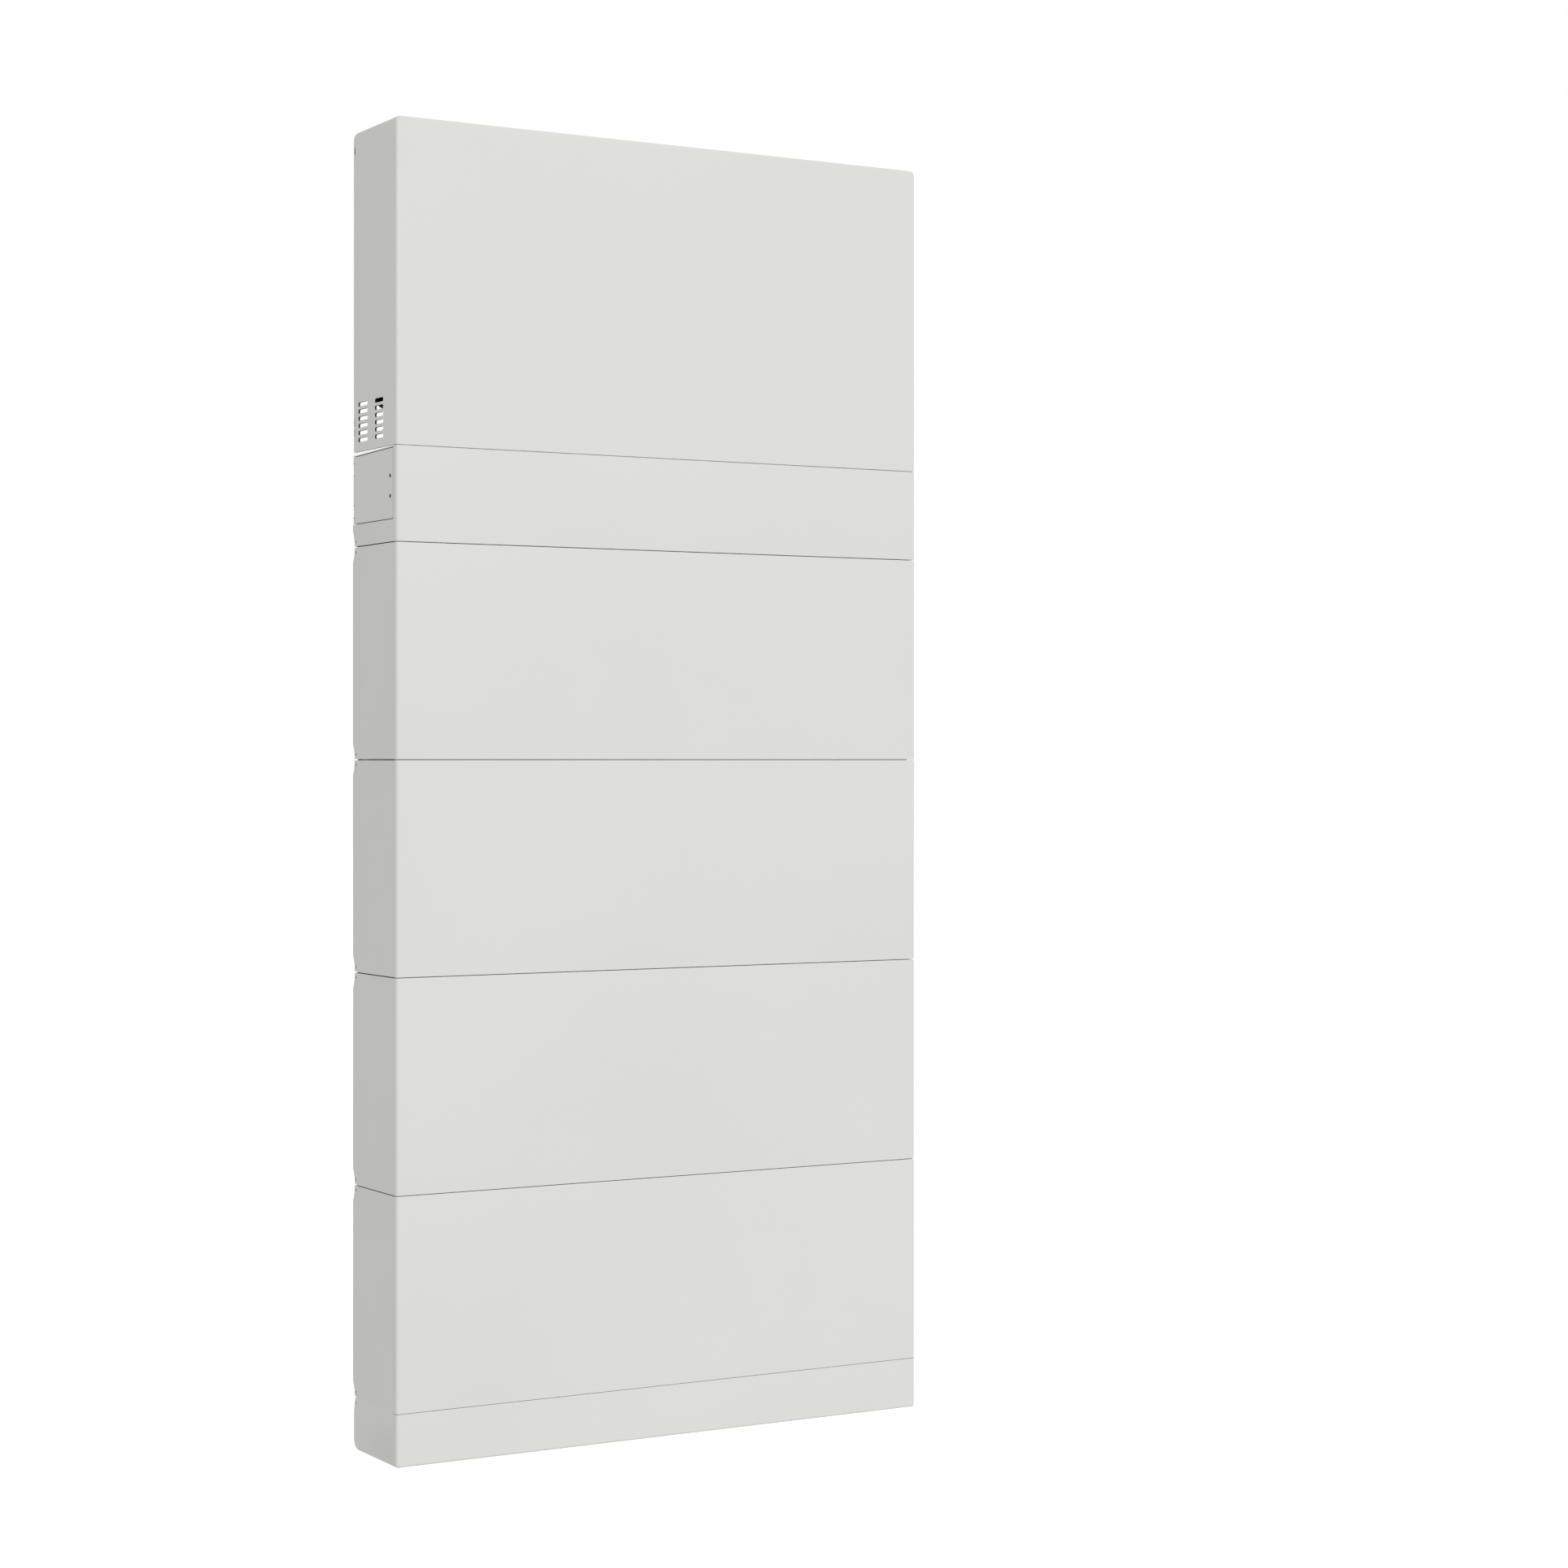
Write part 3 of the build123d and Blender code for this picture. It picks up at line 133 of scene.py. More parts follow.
def node(tree, kind, values=None, **settings):
    """Adds a node with its settings; values maps each input to a constant or to another node's output."""
    made = tree.nodes.new(kind)
    for key, value in settings.items():
        setattr(made, key, value)
    for key, value in (values or {}).items():
        if isinstance(value, bpy.types.NodeSocket):
            tree.links.new(value, made.inputs[key])
        else:
            made.inputs[key].default_value = value
    return made


MATERIALS = {}


def finish(name, light, dark, roughness, grain, depth, cloud=0.12, spread=0.08, stretch=(1, 1, 1), **shader):
    """Two close shades in soft clouds, a fine relief and uneven gloss.

    grain and depth are the relief's size and height and cloud is the clouds' size, all in metres. spread is
    how far the roughness varies. stretch scales the grain along X, Y and Z, which draws it out."""
    made = bpy.data.materials.new(name)
    made.use_nodes = True
    tree = made.node_tree
    tree.nodes.clear()
    place = node(tree, "ShaderNodeTexCoord").outputs["Object"]
    drawn = node(tree, "ShaderNodeMapping", {"Vector": place, "Scale": stretch}).outputs[0]
    clouds = node(tree, "ShaderNodeTexNoise", {"Vector": place, "Scale": 1 / cloud, "Detail": 4.0})
    fine = node(tree, "ShaderNodeTexNoise", {"Vector": drawn, "Scale": 1 / grain, "Detail": 3.0})
    shade = node(tree, "ShaderNodeValToRGB", {0: clouds.outputs["Fac"]})
    shade.color_ramp.elements[0].position = 0.35
    shade.color_ramp.elements[0].color = linear(dark)
    shade.color_ramp.elements[1].position = 0.65
    shade.color_ramp.elements[1].color = linear(light)
    gloss = node(tree, "ShaderNodeMapRange", {"Value": fine.outputs["Fac"], "From Min": 0.3, "From Max": 0.7,
                                             "To Min": roughness - spread, "To Max": roughness + spread})
    relief = node(tree, "ShaderNodeBump", {"Height": fine.outputs["Fac"], "Strength": 1.0, "Distance": depth})
    coat = {"Base Color": shade.outputs[0], "Roughness": gloss.outputs[0], "Normal": relief.outputs[0]}
    body = node(tree, "ShaderNodeBsdfPrincipled", {**coat, **shader})
    node(tree, "ShaderNodeOutputMaterial", {"Surface": body.outputs[0]})
    MATERIALS[name] = made


def make_materials():
    """One finish for each real material of the unit."""
    # Studio paper: matt white stock that lies just below the surround's brightness.
    finish("studio_paper", "#FAFAFA", "#F6F6F6", 0.9, 0.004, 0.0001,
           **{"Emission Color": (1, 1, 1, 1), "Emission Strength": 0.62})
    # Powder coat on steel sheet: sprayed and baked, warm off-white, a fine orange peel about 1.5 mm across.
    finish("powder_coated_steel", "#E6E7E1", "#E4E5DF", 0.55, 0.0015, 0.00002, cloud=0.35)
    # The same coat on a casting: slightly fuller texture where the cast skin shows through.
    finish("coated_casting", "#E5E6E0", "#E2E3DD", 0.58, 0.002, 0.00004, cloud=0.2)
    # Zinc-plated steel: bright plate with soft grey spangle, drawn faintly along X by rolling.
    finish("zinc_plated_steel", "#C9CBCC", "#A9ABAD", 0.36, 0.0012, 0.00001, cloud=0.02, stretch=(0.15, 1, 1),
           Metallic=1.0)
    # Extruded aluminium, clear anodised: satin, with die lines along the fins.
    finish("extruded_aluminium", "#C6C8CA", "#B4B6B8", 0.38, 0.0008, 0.00001, cloud=0.08,
           stretch=(1, 1, 0.04), Metallic=1.0)
    # Drawn aluminium cell can in a blue film.
    finish("cell_case", "#2F5FA8", "#27528F", 0.32, 0.003, 0.00001, cloud=0.05, **{"Coat Weight": 0.4})
    # Glass-fibre board under green solder mask.
    finish("circuit_board", "#1D5B3A", "#174A2F", 0.4, 0.0012, 0.00002, cloud=0.01)
    # Black moulded nylon, fine spark-eroded grain.
    finish("black_plastic", "#1C1C1D", "#161617", 0.5, 0.0006, 0.00003, cloud=0.05)
    # Grey moulded polycarbonate blend, fine grain.
    finish("grey_plastic", "#5C5F61", "#55585A", 0.48, 0.0006, 0.00002, cloud=0.05)
    # Extruded silicone strip, white, with an emission that is painted light: the strip glows brighter than the
    # lamps make it, though it is no lamp.
    finish("pale_silicone", "#FDFDFB", "#FAFAF6", 0.42, 0.002, 0.00001, cloud=0.06,
           **{"Emission Color": (1.0, 1.0, 0.98, 1.0), "Emission Strength": 0.28})
    # Moulded EPDM rubber: dull, with a slight bloom.
    finish("rubber", "#26262A", "#1D1D1F", 0.75, 0.0008, 0.00002, cloud=0.02)
    # Capacitor shrink sleeve: dark blue-black, glossy.
    finish("capacitor_sleeve", "#15171F", "#101218", 0.28, 0.002, 0.00001, cloud=0.03)
    # Enamelled copper winding.
    finish("copper_winding", "#B4693B", "#8E4E2A", 0.3, 0.0012, 0.00008, cloud=0.01, Metallic=1.0)


def dress_cad():
    """Every shown CAD node gets its slot's finish, with shared corners welded and creases kept."""
    slots = {row["node"]: row["material_slot"] for row in frame["record"]["subparts"]}
    for name, piece in frame["nodes"].items():
        piece.data.materials.clear()
        piece.data.materials.append(MATERIALS[slots[name]])
        piece.data.polygons.foreach_set("use_smooth", np.ones(len(piece.data.polygons), dtype=bool))
        weld = piece.modifiers.new("weld", "WELD")
        weld.merge_threshold = WELD_DISTANCE
        crease = piece.modifiers.new("crease", "EDGE_SPLIT")
        crease.split_angle = math.radians(CAD_CREASE)


# ---- surfaces --------------------------------------------------------------------------------
def surface(name, material, body, grids, replaced=()):
    """One piece on a body from closed grids, each a pair (points of shape (rows, around, 3), rows_closed).

    Faces join point (r, k) to (r, k+1), (r+1, k+1) and (r+1, k), with k wrapping round; a row whose points
    all meet becomes a single pole. A grid whose enclosed volume comes out negative is turned inside out, so
    that every face looks outwards. The piece stands for the CAD nodes named in replaced."""
    points, faces, base = [], [], 0
    for rings, rows_closed in grids:
        rings = np.asarray(rings, dtype=float)
        around = rings.shape[1]
        pole = np.ptp(rings, axis=1).max(axis=1) < 1e-9
        used = np.where(pole, 1, around)
        start = np.concatenate([[0], np.cumsum(used)[:-1]])
        step = np.where(pole[:, None], 0, np.arange(around)[None, :])
        index = start[:, None] + step
        after = np.roll(index, -1, axis=0) if rows_closed else index[1:]
        before = index if rows_closed else index[:-1]
        quads = np.stack([before, np.roll(before, -1, axis=1), np.roll(after, -1, axis=1), after], axis=-1)
        flat = np.concatenate([ring[:count] for ring, count in zip(rings, used)])
        corner = flat[quads.reshape(-1, 4)]
        inside = flat.mean(axis=0)
        spun = np.cross(corner[:, 1] - corner[:, 3], corner[:, 2] - corner[:, 0])
        volume = (spun * (corner.mean(axis=1) - inside)).sum()
        ordered = quads.reshape(-1, 4) if volume < 0 else quads.reshape(-1, 4)[:, ::-1]
        faces += [tuple(base + i for i in dict.fromkeys(quad)) for quad in ordered.tolist()]
        points.append(flat)
        base += len(flat)
    mesh = bpy.data.meshes.new(name)
    mesh.from_pydata(np.concatenate(points).tolist(), [], [face for face in faces if len(face) > 2])
    mesh.polygons.foreach_set("use_smooth", np.ones(len(mesh.polygons), dtype=bool))
    piece = bpy.data.objects.new(name, mesh)
    bpy.context.scene.collection.objects.link(piece)
    piece.data.materials.append(MATERIALS[material])
    crease = piece.modifiers.new("crease", "EDGE_SPLIT")
    crease.split_angle = math.radians(PIECE_CREASE)
    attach(piece, body)
    if replaced:
        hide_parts(*replaced)


def turned(centre, profile, axis=(1, 0, 0), around=48, section=None):
    """Grid of a profile [(along, radius), ...] in mm swung about an axis through a centre in metres.

    P(r, a) = centre + along_r * axis + radius_r * section(r, a) * (cos a * u + sin a * v)."""
    axis = np.asarray(axis, dtype=float)
    side = np.array([0.0, 0.0, 1.0]) if abs(axis[2]) < 0.5 else np.array([0.0, 1.0, 0.0])
    other = np.cross(axis, side)
    profile = np.asarray(profile, dtype=float) * MM
    angle = np.linspace(0, 2 * np.pi, around, endpoint=False)
    shape = np.ones((len(profile), around)) if section is None else section(len(profile), angle)
    ring = np.cos(angle)[:, None] * side + np.sin(angle)[:, None] * other
    return (np.asarray(centre, dtype=float) + profile[:, 0, None, None] * axis
            + profile[:, 1, None, None] * shape[:, :, None] * ring)


def hexagon(rows, angle):
    """Radius factor of a hexagon round its inner circle: 1 / cos of the angle from the nearest flat."""
    folded = (angle + np.pi / 6) % (np.pi / 3) - np.pi / 6
    return np.tile(1 / np.cos(folded), (rows, 1))


def power(wave, exponent):
    """sgn(w) |w|^exponent, which squares up a circle's sine and cosine as the exponent falls below 1."""
    return np.sign(wave) * np.abs(wave) ** exponent


def eased(radius, start, end, bend):
    """Profile of a round bar from start to end along its axis, in mm, with both ends rounded by bend."""
    turn = np.linspace(0, np.pi / 2, 5)
    first = [(start + bend * (1 - math.cos(t)), radius - bend * (1 - math.sin(t))) for t in turn]
    last = [(end - bend * (1 - math.cos(t)), radius - bend * (1 - math.sin(t))) for t in turn[::-1]]
    return [(start, 0)] + first + last + [(end, 0)]


def bar(centre, size):
    """Grid of a plain closed bar along X between its end faces, from its centre and size in metres."""
    corner = np.array([[-1, -1], [1, -1], [1, 1], [-1, 1]]) * np.asarray(size[1:]) / 2
    ends = np.array([-0.5, -0.5, 0.5, 0.5]) * size[0]
    scale = np.array([0, 1, 1, 0])
    rings = np.zeros((4, 4, 3))
    rings[:, :, 0] = centre[0] + ends[:, None]
    rings[:, :, 1:] = np.asarray(centre[1:]) + scale[:, None, None] * corner
    return rings


def middle(node_name):
    """Centre of a CAD node's box and the box's two corners, in metres."""
    low, high = (np.asarray(corner, dtype=float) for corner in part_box(node_name))
    return (low + high) / 2, low, high


def seam_heights():
    """Heights of the five seams: the tie plates' box ends half a plate beyond the first and last of them."""
    _, low, high = middle("tie_plates")
    half_plate = (high[2] - low[2] - (SEAM_COUNT - 1) * MODULE_PITCH) / 2
    return low[2] + half_plate + MODULE_PITCH * np.arange(SEAM_COUNT)


# ---- fans ------------------------------------------------------------------------------------
def blade(centre, side, turn, root, tip, chord, camber, thickness, twist):
    """One closed fan blade.

    Along the span s in 0..1 the radius is root + s (tip - root) and the pitch angle runs from twist[0] to
    twist[1]; round the section, c in -1..1 gives the chord and camber (1 - c^2) the curve of its back."""
    span = np.linspace(0, 1, 9)
    loop = np.linspace(0, 2 * np.pi, 24, endpoint=False)
    across, through = np.cos(loop), np.sin(loop)
    pitch = np.radians(twist[0] + (twist[1] - twist[0]) * span)[:, None]
    width = (chord * (0.8 + 0.2 * span))[:, None] * across / 2
    rise = camber * (1 - across ** 2) + through * thickness / 2 * (1 - 0.6 * across ** 2)
    reach = root + span * (tip - root)
    along = width * np.sin(pitch) + rise * np.cos(pitch)
    sweep = width * np.cos(pitch) - rise * np.sin(pitch)
    angle = math.radians(turn) + sweep / reach[:, None]
    rings = np.stack([centre[0] + side * along, centre[1] + reach[:, None] * np.cos(angle),
                      centre[2] + reach[:, None] * np.sin(angle)], axis=-1)
    first = np.broadcast_to(rings[:1].mean(axis=1, keepdims=True), rings[:1].shape)
    last = np.broadcast_to(rings[-1:].mean(axis=1, keepdims=True), rings[-1:].shape)
    return np.concatenate([first, rings, last])


def add_fans():
    """Rotors with a domed hub and seven cambered, twisted blades, one on each fan's own body."""
    blades, first_turn = 7, 12
    root, tip_gap, chord, camber, thickness = 12.2 * MM, 1.0 * MM, 20 * MM, 2.0 * MM, 1.5 * MM
    for side, word in ((-1, "left"), (1, "right")):
        centre, low, high = middle(f"fan_rotor_{word}")
        tip = (high[1] - low[1]) / 2 - tip_gap
        half = (high[0] - low[0]) / 2 / MM
        axis = (side, 0, 0)
        hub = eased(12.8, -half + 4.5, half - 0.4, 2.2)
        shaft = eased(1.9, -half + 0.2, half - 2, 0.4)
        grids = [(turned(centre, hub, axis, 64), False), (turned(centre, shaft, axis, 24), False)]
        for index in range(blades):
            turn = index * 360 / blades + first_turn
            made = blade(centre, side, turn, root, tip, chord, camber, thickness, (52, 30))
            grids.append((made, False))
        surface(f"fan_{word}_blades", "black_plastic", f"fan_{word}", grids, [f"fan_rotor_{word}"])


# ---- side panel fittings ---------------------------------------------------------------------
def ribs(rows, angle):
    """Radius factor 1 + 0.02 cos 18a on the rows of a gland dome's grip, and 1 elsewhere."""
    shape = np.ones((rows, len(angle)))
    shape[2:6] = 1 + 0.02 * np.cos(18 * angle)
    return shape


def add_glands():
    """Hexagon bodies and ribbed domes on the outside, hexagon locknuts inside, all with open bores."""
    centre, low, high = middle("cable_glands")
    flange_from_back = 8 * MM
    inner_circle = 13.0 * math.cos(math.pi / 6)
    bore, flat = 8.05, inner_circle - 0.15
    nut = [(0.0, bore), (0.0, flat - 0.6), (0.5, flat), (5.4, flat), (5.9, flat - 0.6), (5.9, bore)]
    dome = [(5.9, bore), (5.9, 10.2), (6.4, 10.7), (7.2, 10.7), (9.8, 10.7), (10.6, 10.4), (11.8, 9.8),
            (12.6, 8.9), (12.9, 8.6), (12.9, bore)]
    locknut = [(-2.1, bore), (-2.1, 10.2), (-2.6, 10.7), (-7.0, 10.7), (-7.5, 10.2), (-7.5, bore)]
    neck = [(-2.1, bore), (-2.1, 9.9), (0.0, 9.9), (0.0, bore)]
    grids = []
    for z in (low[2] + inner_circle * MM, high[2] - inner_circle * MM):
        place = (low[0] + flange_from_back, centre[1], z)
        grids += [(turned(place, nut, around=72, section=hexagon), True),
                  (turned(place, dome, around=108, section=ribs), True),
                  (turned(place, locknut, around=72, section=hexagon), True),
                  (turned(place, neck, around=72), True)]
    surface("cable_gland_bodies", "black_plastic", "root", grids, ["cable_glands"])


def keyed(rows, angle):
    """Radius factor 1.045 near two opposite keys and 1 elsewhere, on the rows of a socket's barrel."""
    shape = np.ones((rows, len(angle)))
    shape[4:8] = 1 + 0.045 * (np.abs(np.cos(angle)) > 0.96)
    return shape


def add_solar_sockets():
    """Four keyed round sockets with a stepped flange, an open mouth and a contact pin."""
    centre, low, high = middle("pv_sockets")
    flange, barrel_length = 8.0 * MM, 12.0 * MM
    barrel = [(0.0, 4.45), (0.0, 7.6), (0.4, 7.95), (2.8, 7.95), (3.1, 5.6), (6.0, 5.7), (9.0, 5.7),
              (11.4, 5.6), (11.9, 5.2), (11.9, 4.7), (11.5, 4.45)]
    grids, pins = [], []
    for z in np.linspace(low[2] + flange, high[2] - flange, 4):
        place = (high[0] - barrel_length, centre[1], z)
        grids += [(turned(place, barrel, around=64, section=keyed), True),
                  (turned(place, eased(5.8, -14.0, -2.2, 0.5), around=48), False),
                  (turned(place, eased(5.9, -2.2, 0.0, 0.2), around=48), False)]
        pins.append((turned(place, eased(1.6, 0.05, 11.0, 0.8), around=24), False))
    surface("solar_socket_bodies", "black_plastic", "root", grids, ["pv_sockets"])
    surface("solar_socket_pins", "zinc_plated_steel", "root", pins)


def fluted(rows, angle):
    """Radius factor 1 - 0.02 (1 + cos 24a) / 2 round the knob's skirt."""
    return np.tile(1 - 0.02 * (1 + np.cos(24 * angle)) / 2, (rows, 1))


def grip_bar(back, centre, length, width):
    """Grid of the knob's grip.

    Row (along, scale) is a superellipse of half width w and half length l, along mm from the skirt's back.
    (1 - scale) w draws its ends in, and 1 - 0.16 cos^2(pi z / 2 l) gives the bar its waist."""
    loop = np.linspace(0, 2 * np.pi, 64, endpoint=False)
    across = power(np.cos(loop), 0.55) * width
    upright = power(np.sin(loop), 0.45) * length
    rows = [(3.6, 1.0), (5.0, 0.965), (8.0, 0.93), (11.6, 0.92), (13.1, 0.89), (13.8, 0.80), (14.0, 0.62)]
    skirt_height, waist_depth = 4, 0.16
    rings = []
    for along, scale in rows:
        waist = 1 - waist_depth * np.cos(np.pi * upright / length / 2) ** 2 * (along > skirt_height)
        inset = (1 - scale) * width
        rings.append(np.stack([np.full(len(loop), back + along * MM),
                               centre[1] + across * waist * (1 - inset / width * 0.9),
                               centre[2] + upright * (1 - inset / length)], axis=-1))
    rings = np.array(rings)
    caps = [np.broadcast_to(ring.mean(axis=0), ring.shape)[None] for ring in (rings[0], rings[-1])]
    return np.concatenate([caps[0], rings, caps[1]])


def add_knob():
    """Isolator knob: a fluted skirt, a waisted grip bar across it and a plain shaft."""
    centre, low, high = middle("isolator_knob")
    radius = (high[1] - low[1]) / 2
    back = high[0] - 14.0 * MM
    place = (back, centre[1], centre[2])
    skirt = turned(place, eased(radius / MM - 0.05, 0, 4.0, 0.7), around=192, section=fluted)
    grip = grip_bar(back, centre, radius - 1.0 * MM, 3.9 * MM)
    shaft = turned(place, eased(2.95, (low[0] - back) / MM, 0.6, 0.3), around=32)
    grids = [(skirt, False), (grip, False), (shaft, False)]
    surface("isolator_knob_grip", "black_plastic", "isolator", grids, ["isolator_knob"])


def add_button():
    """Power button: a round plunger with a dished face and a soft rim."""
    centre, low, high = middle("power_button")
    radius = (high[1] - low[1]) / 2 / MM
    length = (high[0] - low[0]) / MM
    dish = [(0.0, 0.0), (0.0, radius), (length - 0.9, radius), (length - 0.3, radius - 0.2),
            (length, radius - 0.8), (length - 0.1, radius - 1.4), (length - 0.5, radius - 2.4),
            (length - 0.7, 0.0)]
    place = (low[0], centre[1], centre[2])
    surface("power_button_plunger", "grey_plastic", "button", [(turned(place, dish, around=64), False)],
            ["power_button"])


# ---- screws ----------------------------------------------------------------------------------
def recessed(rows, angle):
    """Round on the outer rows of a screw and six-sided on the last four, which line its recess."""
    shape = np.ones((rows, len(angle)))
    shape[-4:] = hexagon(4, angle)
    return shape


def add_tie_screws():
    """Domed socket screws at the rear edges of each seam; the recess is part of the same profile."""
    centre, _, high = middle("tie_screws")
    head_height, offset_from_seam = 1.0 * MM, 6.5 * MM
    profile = [(-8.0, 0.0), (-8.0, 1.3), (-7.7, 1.47), (0.0, 1.47), (0.0, 1.86), (0.5, 1.88), (0.85, 1.6),
               (1.0, 1.2), (0.98, 0.9), (0.9, 0.86), (0.3, 0.86), (0.2, 0.0)]
    grids = []
    for seam in seam_heights():
        for side in (-1, 1):
            for offset in (-offset_from_seam, offset_from_seam):
                place = (side * (high[0] - head_height), centre[1], seam + offset)
                grids.append((turned(place, profile, (side, 0, 0), 24, recessed), False))
    surface("tie_screw_heads", "zinc_plated_steel", "root", grids, ["tie_screws"])


# ---- inverter parts --------------------------------------------------------------------------
def winding(x, near_y, z, height, outer):
    """Grid of one wound ring core.

    At u round the ring and t round its section, the radius is m + r power(cos t) g and the height
    h power(sin t) g. g = 1 - 0.045 (1 - |cos(n u / 2)|) leaves one ridge for each of the n turns of wire."""
    wires, ridge_depth, skin_r, skin_y = 60, 0.045, 0.2 * MM, 0.3 * MM
    turns = np.linspace(0, 2 * np.pi, 360, endpoint=False)
    loop = np.linspace(0, 2 * np.pi, 20, endpoint=False)
    inner = 0.42 * outer
    mean, half = (outer + inner) / 2, (outer - inner) / 2
    ridge = 1 - ridge_depth * (1 - np.abs(np.cos(turns * wires / 2)))[:, None]
    reach = mean + (half - skin_r) * power(np.cos(loop), 0.6)[None, :] * ridge
    along = near_y + height / 2 + (height / 2 - skin_y) * power(np.sin(loop), 0.6)[None, :] * ridge
    return np.stack([x + reach * np.cos(turns)[:, None], np.broadcast_to(along, reach.shape),
                     z + reach * np.sin(turns)[:, None]], axis=-1)


def add_coils():
    """Four wound ring cores, each on a small stand that carries it off the board."""
    centre, low, high = middle("inductors")
    height, columns = 40.0 * MM, 4
    outer = (high[2] - low[2]) / 2
    coils, stands = [], []
    for x in np.linspace(low[0] + outer, high[0] - outer, columns):
        coils.append((winding(x, low[1], centre[2], height, outer), True))
        place = (x, (low[1] + height + high[1]) / 2, centre[2] - 0.775 * outer)
        stands.append((bar(place, (1.6 * outer, high[1] - low[1] - height, 0.25 * outer)), False))
    surface("inductor_windings", "copper_winding", "root", coils, ["inductors"])
    surface("inductor_stands", "black_plastic", "root", stands)


def add_cans():
    """Capacitor cans: a slightly dished front end, rounded shoulders and a groove near the board."""
    _, low, high = middle("capacitors")
    radius, columns, rows = 15.0 * MM, 8, 2
    length = (high[1] - low[1]) / MM
    profile = [(0.0, 0.0), (0.25, 12.0), (0.0, 13.2), (0.5, 14.6), (1.6, 14.95), (length - 8, 14.95),
               (length - 6.6, 13.9), (length - 5.2, 14.95), (length - 0.8, 14.95), (length, 14.2),
               (length, 0.0)]
    grids = [(turned((x, low[1], z), profile, (0, 1, 0), 40), False)
             for x in np.linspace(low[0] + radius, high[0] - radius, columns)
             for z in np.linspace(low[2] + radius, high[2] - radius, rows)]
    surface("capacitor_cans", "capacitor_sleeve", "root", grids, ["capacitors"])


def racetrack(x, centre, half, radius):
    """Ring of points round a slot, (sgn(cos t) (a - r) + r cos t, r sin t), half length a and end radius r."""
    loop = np.linspace(0, 2 * np.pi, 64, endpoint=False) + np.pi / 64
    return np.stack([np.full(len(loop), x),
                     centre[0] + np.sign(np.cos(loop)) * (half - radius) + radius * np.cos(loop),
                     centre[1] + radius * np.sin(loop)], axis=-1)


def add_vent_shade_liners():
    """Thin black edging in every vent slot, from just below the cover's face to just behind its inside:
    painted shade that darkens the slot walls where shade falls.
    """
    low, high = (np.asarray(corner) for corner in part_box("inverter_cover"))
    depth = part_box("battery_1_housing")[1][1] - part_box("battery_1_front_cover")[0][1]
    bottom = low[2] - COVER_SEAM_HALF
    front, back, fit, thickness = 0.25, 2.3, 0.02, 0.15
    slot_radius, first_row, row_pitch, rows = 2.7, 14.5, 8.9, 6
    section = ((front, fit), (front, thickness), (back, thickness), (back, fit))
    grids = []
    for side, face in ((-1, low[0]), (1, high[0])):
        for start, share in ((0.294, 0.194), (0.657, 0.216)):
            for row in range(rows):
                centre = (low[1] + (start + share / 2) * depth, bottom + (first_row + row_pitch * row) * MM)
                rings = [racetrack(face - side * along * MM, centre, share * depth / 2 - inset * MM,
                                   (slot_radius - inset) * MM) for along, inset in section]
                grids.append((np.array(rings), True))
    # The black edging is painted shade on the slot walls, not a real part of the cover.
    surface("vent_slot_shade_liners", "black_plastic", "root", grids)


def add_shade_clips():
    """Black pieces in the small slots near the inverter cover's rear edge, just below its face: painted shade
    that darkens the slots where shade falls.
    """
    low, high = (np.asarray(corner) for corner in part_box("inverter_cover"))
    bottom = low[2] - COVER_SEAM_HALF
    below_face, thickness = 1.1 * MM, 1.5 * MM
    lower = [(high[1] - 2.4 * MM, bottom + up * MM, 1.5 * MM, 8.3 * MM) for up in (25, 37)]
    upper = [(high[1] - 3.6 * MM, high[2] - 24 * MM, 2.2 * MM, 8.0 * MM)]
    grids = []
    for side, face in ((-1, low[0]), (1, high[0])):
        for y, z, width, height in lower + upper:
            place = (face - side * below_face, y, z)
            grids.append((bar(place, (thickness, width, height)), False))
    # These black fillers are painted shade in the slots.
    surface("inverter_cover_shade_clips", "black_plastic", "root", grids)


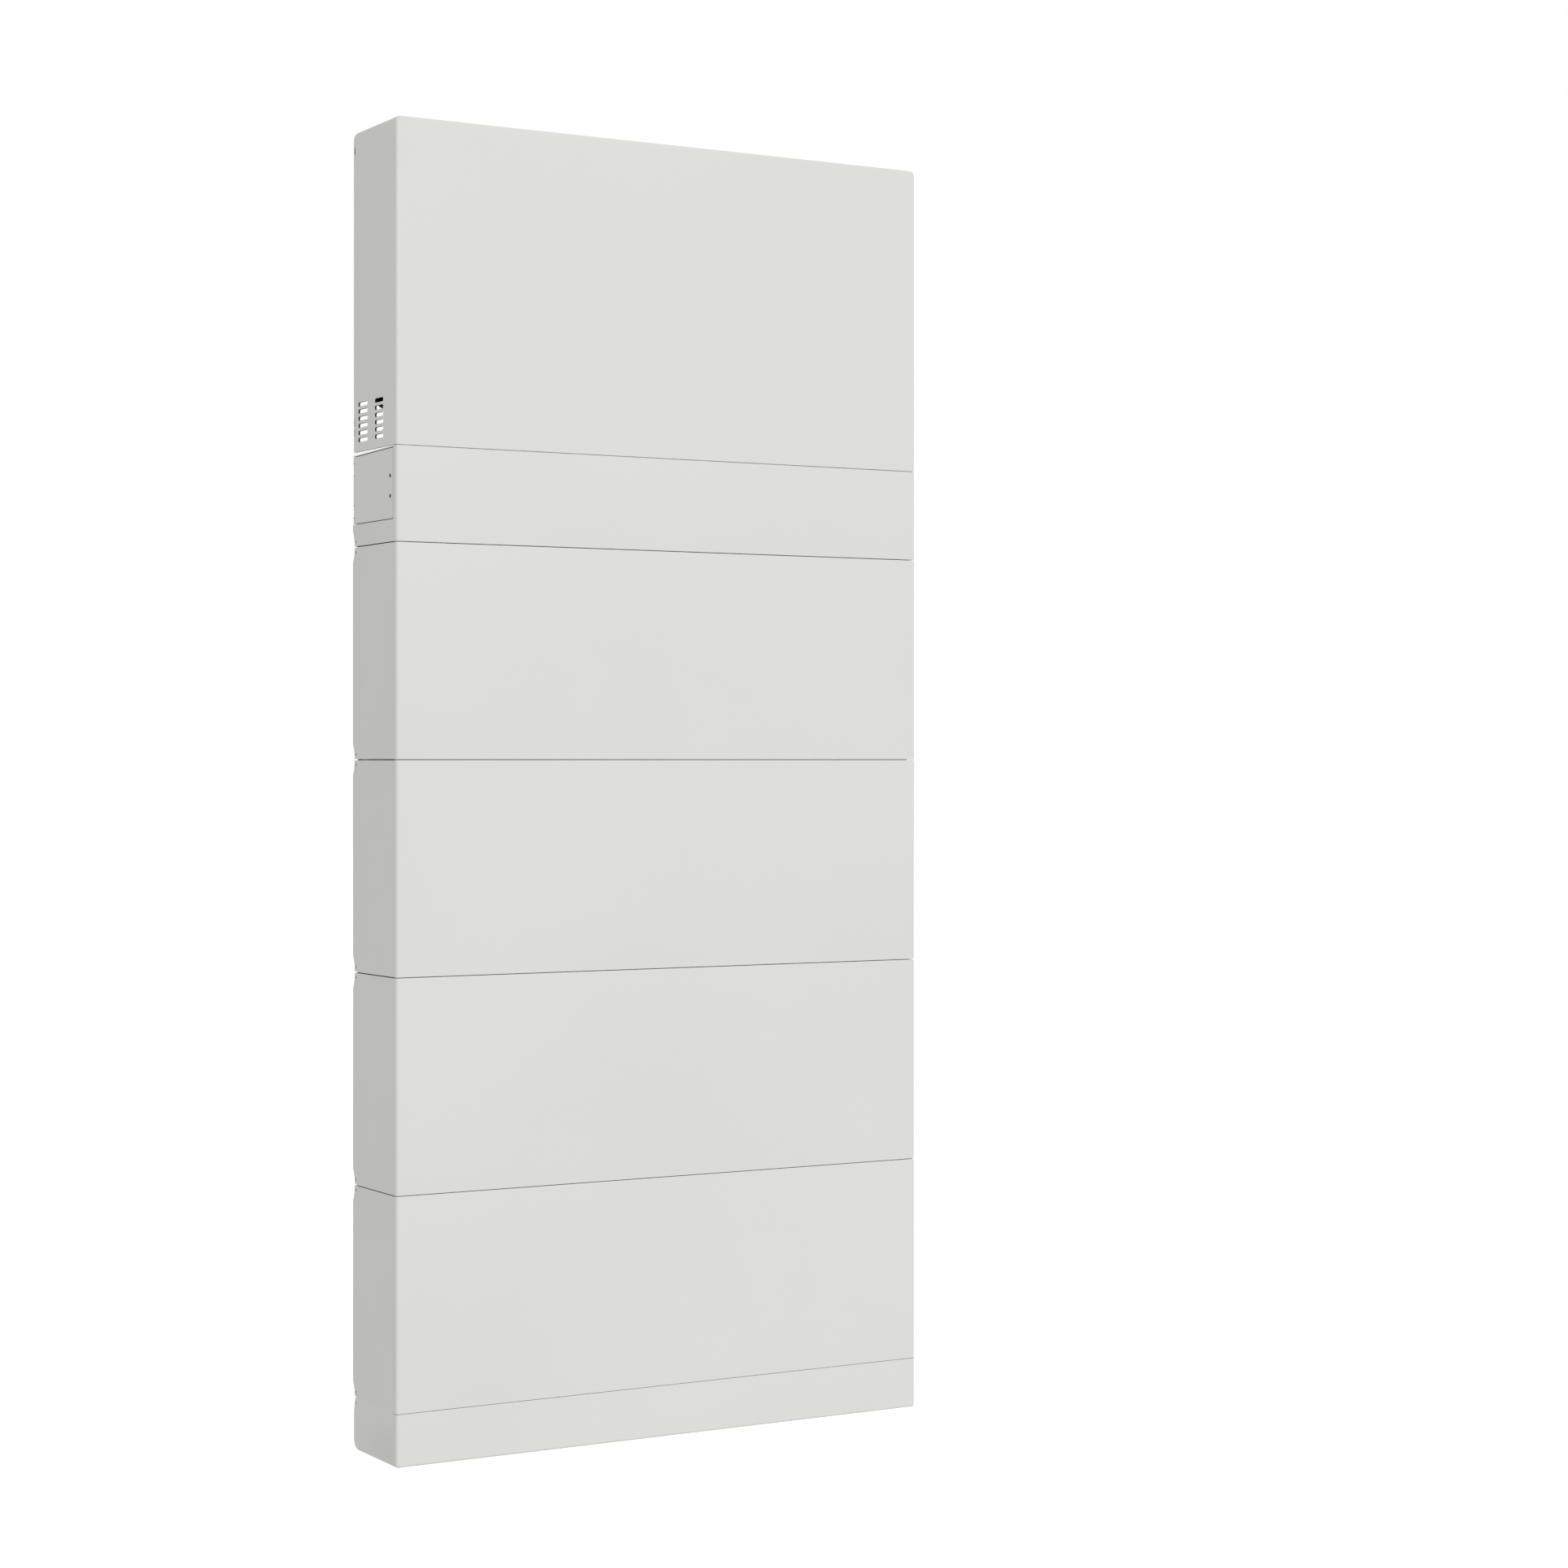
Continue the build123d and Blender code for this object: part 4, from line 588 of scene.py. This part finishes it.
def add_terminal_screws():
    """Dimpled clamp screws in the front holes of the terminal block."""
    low, high = (np.asarray(corner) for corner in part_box("terminal_block"))
    margin, spacing, rows, seat = 0.09, 0.128, 6, 2.55 * MM
    rise = (high[2] - low[2]) / (1 - 2 * margin)
    y = low[1] + 0.3 * (high[1] - low[1])
    profile = [(0.0, 0.0), (0.0, 2.3), (-2.0, 2.4), (-2.4, 2.2), (-2.4, 0.5), (-2.0, 0.45), (-2.0, 0.0)]
    grids = []
    for row in range(rows):
        z = low[2] + margin * rise + spacing * row * rise
        grids.append((turned((low[0] + seat, y, z), profile, around=32), False))
    surface("terminal_screws", "zinc_plated_steel", "root", grids)


def seam_ring(low, high, inset, corner, half_width, half_height, level):
    """Closed ring of superellipse section carried round a rounded rectangle at one height.

    The path is the box's rectangle drawn in by inset with corner radius c; the section at angle t is
    (w power(cos t), h power(sin t)). Lengths in metres."""
    path, normal = [], []
    for quarter, (x, y) in enumerate(((1, 1), (0, 1), (0, 0), (1, 0))):
        edge = np.array([(low, high)[x][0] + (1 - 2 * x) * (inset + corner),
                         (low, high)[y][1] + (1 - 2 * y) * (inset + corner)])
        turn = np.linspace(0, np.pi / 2, 10) + quarter * np.pi / 2
        out = np.stack([np.cos(turn), np.sin(turn)], axis=-1)
        path.append(edge + corner * out)
        normal.append(out)
    path, normal = np.concatenate(path), np.concatenate(normal)
    loop = np.linspace(0, 2 * np.pi, 16, endpoint=False)
    flat = path[:, None, :] + normal[:, None, :] * (half_width * power(np.cos(loop), 0.7))[None, :, None]
    height = np.broadcast_to(level + half_height * power(np.sin(loop), 0.7), flat.shape[:2])
    return np.concatenate([flat, height[..., None]], axis=-1)


def add_gasket_beads():
    """A sealing bead in every seam, and outside it a thin black tape that fills the gap: painted shade, which
    darkens the seam where shade falls.
    """
    low, high = (np.asarray(corner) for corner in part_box("seam_gaskets"))
    # Inset from the box, corner radius, half width and half height of each ring.
    bead = (3 * MM, 9 * MM, 2.95 * MM, 0.69 * MM)
    # The outer tape ring is painted shade: black rubber laid in the seam gap to darken it.
    shade_tape = (-5.8 * MM, 4 * MM, 1.7 * MM, 0.62 * MM)
    beads = [(seam_ring(low, high, *bead, seam), True) for seam in seam_heights()]
    shade_tapes = [(seam_ring(low, high, *shade_tape, seam), True) for seam in seam_heights()]
    surface("seam_gasket_beads", "rubber", "root", beads, ["seam_gaskets"])
    surface("seam_shade_tapes", "rubber", "root", shade_tapes)


make_materials()
add_camera()
add_light()
add_floor()
dress_cad()
add_fans()
add_glands()
add_solar_sockets()
add_knob()
add_button()
add_tie_screws()
add_coils()
add_cans()
add_vent_shade_liners()
add_shade_clips()
add_terminal_screws()
add_gasket_beads()
